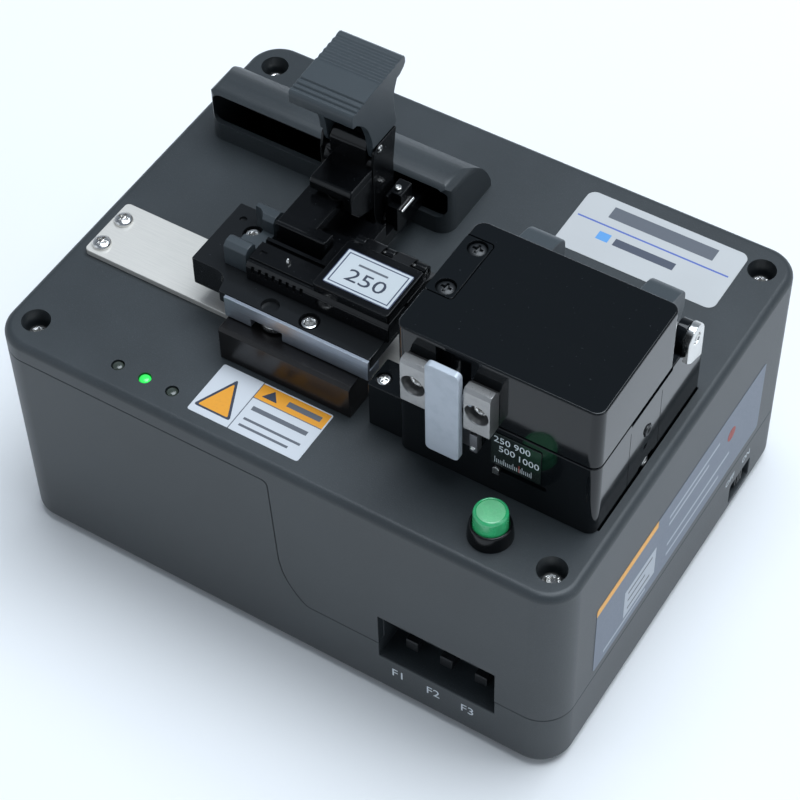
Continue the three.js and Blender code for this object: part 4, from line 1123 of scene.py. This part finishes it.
def head_lid():
    hy, hz = HEAD_HINGE
    x0, x1, y0 = HEAD["x0"], HEAD["x1"], HEAD["y0"]
    block = slab("z", rounded(x0, x1, y0, -3.7, 3, 10), 107.6, HEAD["top"], 0.55, 4)
    return cut(
        block, box(39, 49.3, y0 - 1, y0 + 3.6, 106, 127.7), box(35, 72, -32, -12, 106, 118),
        box(26, 36, FIBRE_Y - 1.5, FIBRE_Y + 1.5, 106, 109),
        slab("z", rounded(24, 35.4, -31.6, -9.6, 1.3, 5), 127.3, 130, 0),
        *[rod("z", x, y, 1.4, 118.5, 128.5, steps=24) for x, y in ENTRY_SCREWS],
        *[rod("y", (a + b) / 2, LATCH_SCREW_Z, 1.3, y0 - 1, y0 + 9, steps=24) for a, b in LATCH_BLOCKS],
    )


piece("head_lid_block", head_lid(), gloss_finish, "head_cover", ["head_lid"], 0.22, 3)
lug = eased([[-4.4, 109.2], [-4.4, 119], [4, 117.4], [11.6, 115.6], [14.2, 113.4], [14.4, 107], [11.4, 102.6],
             [6, 101], [0.4, 103.6], [-2, 108.6]], 1.4, 5)
for number, (a, b) in enumerate(LUGS, 1):
    piece(f"lid_lug_{number}", cut(slab("x", lug, a, b, 0.5, 3), rod("x", *HEAD_HINGE, 2.3, a - 1, b + 1)),
          grip_finish, "head_cover", (), 0.15)

entry = slab("z", eased([[27.1, -31.2], [35.05, -31.2], [35.05, -10.0], [27.1, -10.0]], 1.0, 5),
             127.3, 129, 0.1, 2)
entry = cut(entry, *[rod("z", x, y, 2.8, 127, 130) for x, y in ENTRY_SCREWS])
piece("entry_cover", entry, gloss_finish, "head_cover", ["entry_plate"], 0.08)
for number, (x, y) in enumerate(ENTRY_SCREWS, 1):
    piece(f"entry_cross_screw_{number}", cross_screw(x, y, 127.3, 5.3, 1.6, 2.4, 6),
          black_finish, "head_cover", [f"entry_screw_{number}"], 0.06)

# %% Hinge pin, heater and blades
hy, hz = HEAD_HINGE
end = slab("x", np.vstack([arc(hy, hz, 4.3, 0, 180, 20),
                           [[hy - 4.3, 101.5], [hy - 2.6, 99.6], [hy + 4.3, 97]]]),
           84.1, 86.4, 0.35, 3)
end = cut(end, rod("x", hy, hz, 1.9, 85.6, 87))
hinge_screw = cap_screw("x", hy, hz, 85.4, 3.4, 0.8, 1.6, 1)
piece("hinge_pin_end", together(end, hinge_screw, rod("x", hy, hz, 2, 34, 84.1, 0.3)), nickel_finish, "case",
      ["head_hinge_pin"], 0.1)
heater = cut(box(40, 70, -30, -14, 88, 106.4, 0.4), box(39, 71, FIBRE_Y - 0.6, FIBRE_Y + 0.6, 105.4, 108))
piece("heater", heater, rail_finish, "case", ["heater_block"], 0.12)
edge_up = [[-28, 88], [-15, 88], [-15, 106.9], [-28, 106.9]]
piece("blade_low", slab("x", edge_up, 35.8, 36.7, 0.12, 1), nickel_finish, "case",
      ["lower_blade"], 0)
edge_down = [[-28, 107.9], [-15, 107.9], [-15, 118], [-28, 118]]
piece("blade_high", slab("x", edge_down, 35.8, 36.7, 0.12, 1), nickel_finish, "head_cover",
      ["upper_blade"], 0)

# %% [markdown]
# ## Latch
# Two nickel blocks are screwed to the lid, each with a wide sunk hole for its screw. Between them hangs the
# pale latch plate, which swings on a thin axle and closes over a catch plate on the lower block.

# %% Latch parts
for (a, b), name in zip(LATCH_BLOCKS, ("left", "right")):
    mid = (a + b) / 2
    outline = [[-50.2, 107.7], [-45.5, 107.7], [-45.5, 121.2], [-47.2, 122.7], [-49.4, 122.7], [-50.2, 121.8]]
    near = (a - 1, a + 2) if name == "right" else (a + 5.6, b + 1)  # x span of the axle's hole
    flare = turned("y", mid, LATCH_SCREW_Z, [(0, -51), (4.1, -51), (3.2, -49.7), (0, -49.7)], 40)
    body = cut(slab("x", outline, a, b, 0.25, 2), rod("y", mid, LATCH_SCREW_Z, 3.3, -51.2, -46.4), flare,
               rod("y", mid, LATCH_SCREW_Z, 1.4, -51.2, -44, steps=24),
               rod("x", *LATCH_AXLE, 0.75, *near, steps=20))
    piece(f"nickel_block_{name}", body, block_finish, "head_cover", [f"latch_block_{name}"], 0.1)
    screw = cap_screw("y", mid, LATCH_SCREW_Z, -46.4, 4.2, -1.8, 2.4, 5.2)
    piece(f"block_screw_{name}", screw, nickel_finish, "head_cover", [f"latch_screw_{name}"], 0.06)

plate = slab("y", rounded(39.3, 49.2, 94.5, 127.5, 1.5, 6), -51.6, -49.4, 0.35, 3)
spine = np.vstack([arc(*LATCH_AXLE, 1.5, -90, 90, 12), [[-49.6, 116.7], [-49.6, 113.7]]])
lever = joined(plate, slab("x", spine, 39.5, 49, 0.1, 2), rod("x", *LATCH_AXLE, 0.6, 37.4, 51.1, steps=20),
               box(41, 47.5, -49.6, -47.4, 97.8, 103, 0.2))
piece("latch_plate", lever, lever_finish, "latch", ["latch_lever"], 0.12)
catch = joined(box(40.6, 52.6, -46.9, -45.5, 96.4, 105.4, 0.3), rod("y", 44.2, 100.4, 2.3, -47.3, -46.8, 0.1),
               box(50.6, 52.9, -48.6, -46.8, 97.2, 104.0, 0.3))
piece("catch_plate", catch, catch_finish, "case", ["latch_catch"], 0.1)
small = cap_screw("y", 51.7, 98.8, -48.4, 1.6, -0.5, 0.8, 0.6)
piece("catch_screw", small, nickel_finish, "case", (), 0.04)

# %% [markdown]
# ## Scale and pointer
# The gap between the blades is set with a pointer that slides under a small scale. Numbers on a dial are part
# of how it works, so they are made: letter outlines turned into thin raised ink. A row of slim bars makes the
# scale, with every fifth one longer.

# %% Lettering
def lettering(words, height, place, right, up, depth=0.05):
    """Each outline point (x, y, z) goes to place + x right + y up + z (right x up)."""
    curve = bpy.data.curves.new("words", "FONT")
    curve.body, curve.size, curve.extrude = words, height / 0.70, depth / 2
    curve.align_x, curve.align_y, curve.resolution_u = "CENTER", "CENTER", 3
    item = bpy.data.objects.new("words", curve)
    bpy.context.scene.collection.objects.link(item)
    graph = bpy.context.evaluated_depsgraph_get()
    graph.update()
    mesh = bpy.data.meshes.new_from_object(item.evaluated_get(graph))
    bpy.data.objects.remove(item)
    bpy.data.curves.remove(curve)
    points = np.zeros((len(mesh.vertices), 3), np.float32)
    mesh.vertices.foreach_get("co", points.ravel())
    out = np.cross(right, up)
    points = np.asarray(place) + points @ np.array([right, up, out], float)
    mesh.vertices.foreach_set("co", points.astype(np.float32).ravel())
    return mesh


RIGHT, BACK, UP = (1, 0, 0), (0, 1, 0), (0, 0, 1)
FACE = HEAD["y0"]


def bars(places, width, low, heights, y0, y1):
    return [box(x - width / 2, x + width / 2, y0, y1, low, low + h) for x, h in zip(places, heights)]


dial = slab("y", rounded(55.4, 69.9, 92.6, 105.2, 0.6, 4), FACE - 0.35, FACE, 0.1, 2)
piece("dial_plate", dial, polished("dial_grey", (0.014, 0.020, 0.018), 0.16), "case", (), 0)
ticks = np.linspace(56.6, 67.2, 21)
marks = bars(ticks, 0.16, 93.6, np.where(np.arange(21) % 5 == 0, 2.3, 1.5), FACE - 0.40, FACE - 0.34)
numbers = [lettering(words, 2.3, (x, FACE - 0.37, z), RIGHT, UP) for words, x, z in
           (("250", 58.6, 102.9), ("900", 64.4, 102.9), ("500", 60.0, 99.6), ("1000", 66.2, 98.9))]
piece("dial_marks", together(*marks, *numbers), white_ink, "case", (), 0)
red = box(63.5, 63.8, FACE - 0.42, FACE - 0.34, 93.6, 96.2)
piece("dial_red_mark", red, red_ink, "case", (), 0)
pointer = joined(box(56.3, 58.3, FACE - 0.4, FACE + 3, 90.4, 91.4, 0.1),
                 slab("y", eased([[56.3, 89.6], [58.3, 89.6], [58.3, 91.6], [57.3, 92.4],
                                  [56.3, 91.6]], 0.2, 3), FACE - 1.2, FACE - 0.3, 0.12, 2))
piece("dial_pointer", pointer, nickel_finish, "pointer", ["gap_pointer"], 0.06)

# %% [markdown]
# ## Labels
# Four vinyl labels are stuck to the machine. Their words are left out, and plain bars stand for lines of
# print. Each one is a thin round-cornered sheet whose colours are rectangles in millimetres. The size on the
# holder's lid is a number that the user needs, so it stays.

# %% Notice label on the deck
PAPER, GREY, NAVY, ORANGE = (0.55, 0.57, 0.60), (0.10, 0.11, 0.13), (0.020, 0.030, 0.075), (0.72, 0.30, 0.015)
SHEET = 0.12  # thickness of a label

notice = Print("notice_label", PAPER, 0, 1)
notice.lay(notice.area(-14.6, 7.0, -51.4, -46.2), ORANGE)
notice.lay(notice.area(-14.9, -14.6, -64, -45.8), GREY)
notice.lay(notice.area(-14.9, 7.0, -51.7, -51.4), GREY)
notice.lay(notice.area(-5.4, 5.2, -49.7, -47.9), GREY)
for top, reach in ((-54.0, 4.6), (-58.4, 5.0), (-60.8, 2.6)):
    notice.lay(notice.area(-12.9, reach, top - (1.5 if top > -55 else 0.8), top), GREY)
notice_sheet = slab("z", rounded(-27.9, 7.4, -63.8, -45.8, 0.7, 4), DECK, DECK + SHEET, 0.04, 2)
piece("notice_sheet", notice_sheet, notice.finished(), "case", (), 0)


def triangle(name, x0, x1, low, high, height, radius, finish):
    """A triangle of ink on a level base, 0.03 thick, whose point is half way between x0 and x1."""
    points = [[x0, low], [x1, low], [(x0 + x1) / 2, high]]
    piece(name, slab("z", eased(points, radius, 5), height, height + 0.03, 0), finish, "case", (), 0)


triangle("notice_triangle_edge", -27.3, -15.5, -61.6, -48.6, DECK + SHEET, 1.1, dark_ink)
triangle("notice_triangle", -26.2, -16.6, -61.0, -50.4, DECK + 0.15, 0.7,
         ink("orange_ink", ORANGE, (0.60, 0.26, 0.03)))
triangle("notice_small_triangle", -12.9, -8.1, -50.2, -47.0, DECK + SHEET, 0.3, dark_ink)

# %% Name label, size label and rating label
name = Print("name_label", (0.48, 0.485, 0.485), 0, 1)
name.lay(name.area(27.0, 74.6, 51.9, 52.5), (0.09, 0.14, 0.42))
name.lay(name.area(35, 68, 55.4, 60.0), GREY)
name.lay(name.area(41, 60, 46.4, 49.2), (0.06, 0.07, 0.10))
name.lay(name.area(35.6, 39.4, 46.4, 49.6), (0.10, 0.30, 0.62))
name_sheet = slab("z", rounded(25.7, 76.4, 39.0, 62.6, 2.6, 8), DECK, DECK + SHEET, 0.04, 2)
piece("name_sheet", name_sheet, name.finished(), "case", (), 0)

size = Print("size_label", (0.50, 0.535, 0.555), 0, 1)
size.frame(-6.3, 14.2, -28.4, -15.0, 0.3, NAVY).frame(-5.3, 13.2, -27.4, -16.0, 0.34, NAVY)
size.lay(size.area(-0.8, 8.2, -19.2, -18.5), GREY)
size_sheet = slab("z", rounded(-6.3, 14.2, -28.4, -15.0, 0.6, 4), 110.0, 110.12, 0.04, 2)
piece("size_sheet", size_sheet, size.finished(), "holder_cover", (), 0)
size_number = lettering("250", 4.3, (4.0, -23.2, 110.14), (1.32, 0, 0), BACK, 0.04)
piece("size_number", size_number, dark_ink, "holder_cover", (), 0)

rating = Print("rating_label", (0.13, 0.155, 0.20), 1, 2)
rating.lay(rating.area(-49.6, -15.3, 53.2, 56.0), (0.80, 0.38, 0.05))
rating.lay(rating.area(-33, -15, 32, 44), (0.40, 0.43, 0.47))
rating.lay(rating.area(-31, -17, 41, 42) + rating.area(-31, -21, 37.6, 38.6)
           + rating.area(-31, -18, 34, 35), GREY)
for low, start, stop in ((48.6, -8, 22), (45.4, -8, 16), (36.0, -8, 30), (31.4, -8, 24), (29.6, -44, -20)):
    rating.lay(rating.area(start, stop, low, low + 1.2), (0.34, 0.37, 0.42))
rating_sheet = slab("x", rounded(-49.6, 50, 27, 56, 1.2, 5), CASE_X, CASE_X + SHEET, 0.04, 2)
piece("rating_sheet", rating_sheet, rating.finished(), "case", (), 0)
piece("rating_seal", rod("x", 30, 45, 2.4, CASE_X + SHEET, CASE_X + 0.16, steps=40), red_ink,
      "case", (), 0)

# %% Printed key names and switch names
key_names = [lettering(f"F{n}", 3.3, (x, -CASE_Y - 0.01, 12.4), RIGHT, UP, 0.04)
             for n, x in enumerate((40.6, 51.8, 62.8), 1)]
switch_names = [lettering(word, 2.3, (CASE_X + 0.01, y, 18.4), BACK, UP, 0.04)
                for word, y in (("OFF", 34.4), ("ON", 44.8))]
piece("printed_names", together(*key_names, *switch_names), white_ink, "case", (), 0)

# %% [markdown]
# ## The rest of the frame
# The four feet keep their CAD shape, since they are plain discs under the case. They only need their finish.

# %% Feet
for number in range(1, 5):
    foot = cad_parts[f"foot_{number}"]
    foot.data.materials.clear()
    foot.data.materials.append(rubber_finish)
print("feet:", rubber_finish.name)

# %% [markdown]
# ## Surroundings
# The sky's colour depends only on height: pale near the horizon and dim overhead, like a room with a dark
# ceiling round a light table. Last comes the pale sheet's finish.

# %% Sky and floor
world = bpy.data.worlds.new("studio")
world.use_nodes = True
bpy.context.scene.world = world
tree = world.node_tree
background = tree.nodes["Background"]
sky_place = tree.nodes.new("ShaderNodeTexCoord")
sky_split = tree.nodes.new("ShaderNodeSeparateXYZ")
sky_ramp = tree.nodes.new("ShaderNodeValToRGB")
set_stops(sky_ramp.color_ramp,
          [(0.0, (0.52, 0.56, 0.60)), (0.25, (0.42, 0.47, 0.53)), (0.7, (0.15, 0.18, 0.22))])
tree.links.new(sky_place.outputs["Generated"], sky_split.inputs[0])
tree.links.new(sky_split.outputs["Z"], sky_ramp.inputs[0])
tree.links.new(sky_ramp.outputs[0], background.inputs["Color"])
background.inputs["Strength"].default_value = 1.0

sheet = Finish("floor_sheet")
mottle = sheet.between(sheet.noise(3, 3), 0.3, 0.7)
floor_mesh.materials.append(sheet.done(Base_Color=sheet.blend(mottle, (0.82, 0.82, 0.82), (0.84, 0.84, 0.84)),
                                       Roughness=mottle * 0.05 + 0.7))
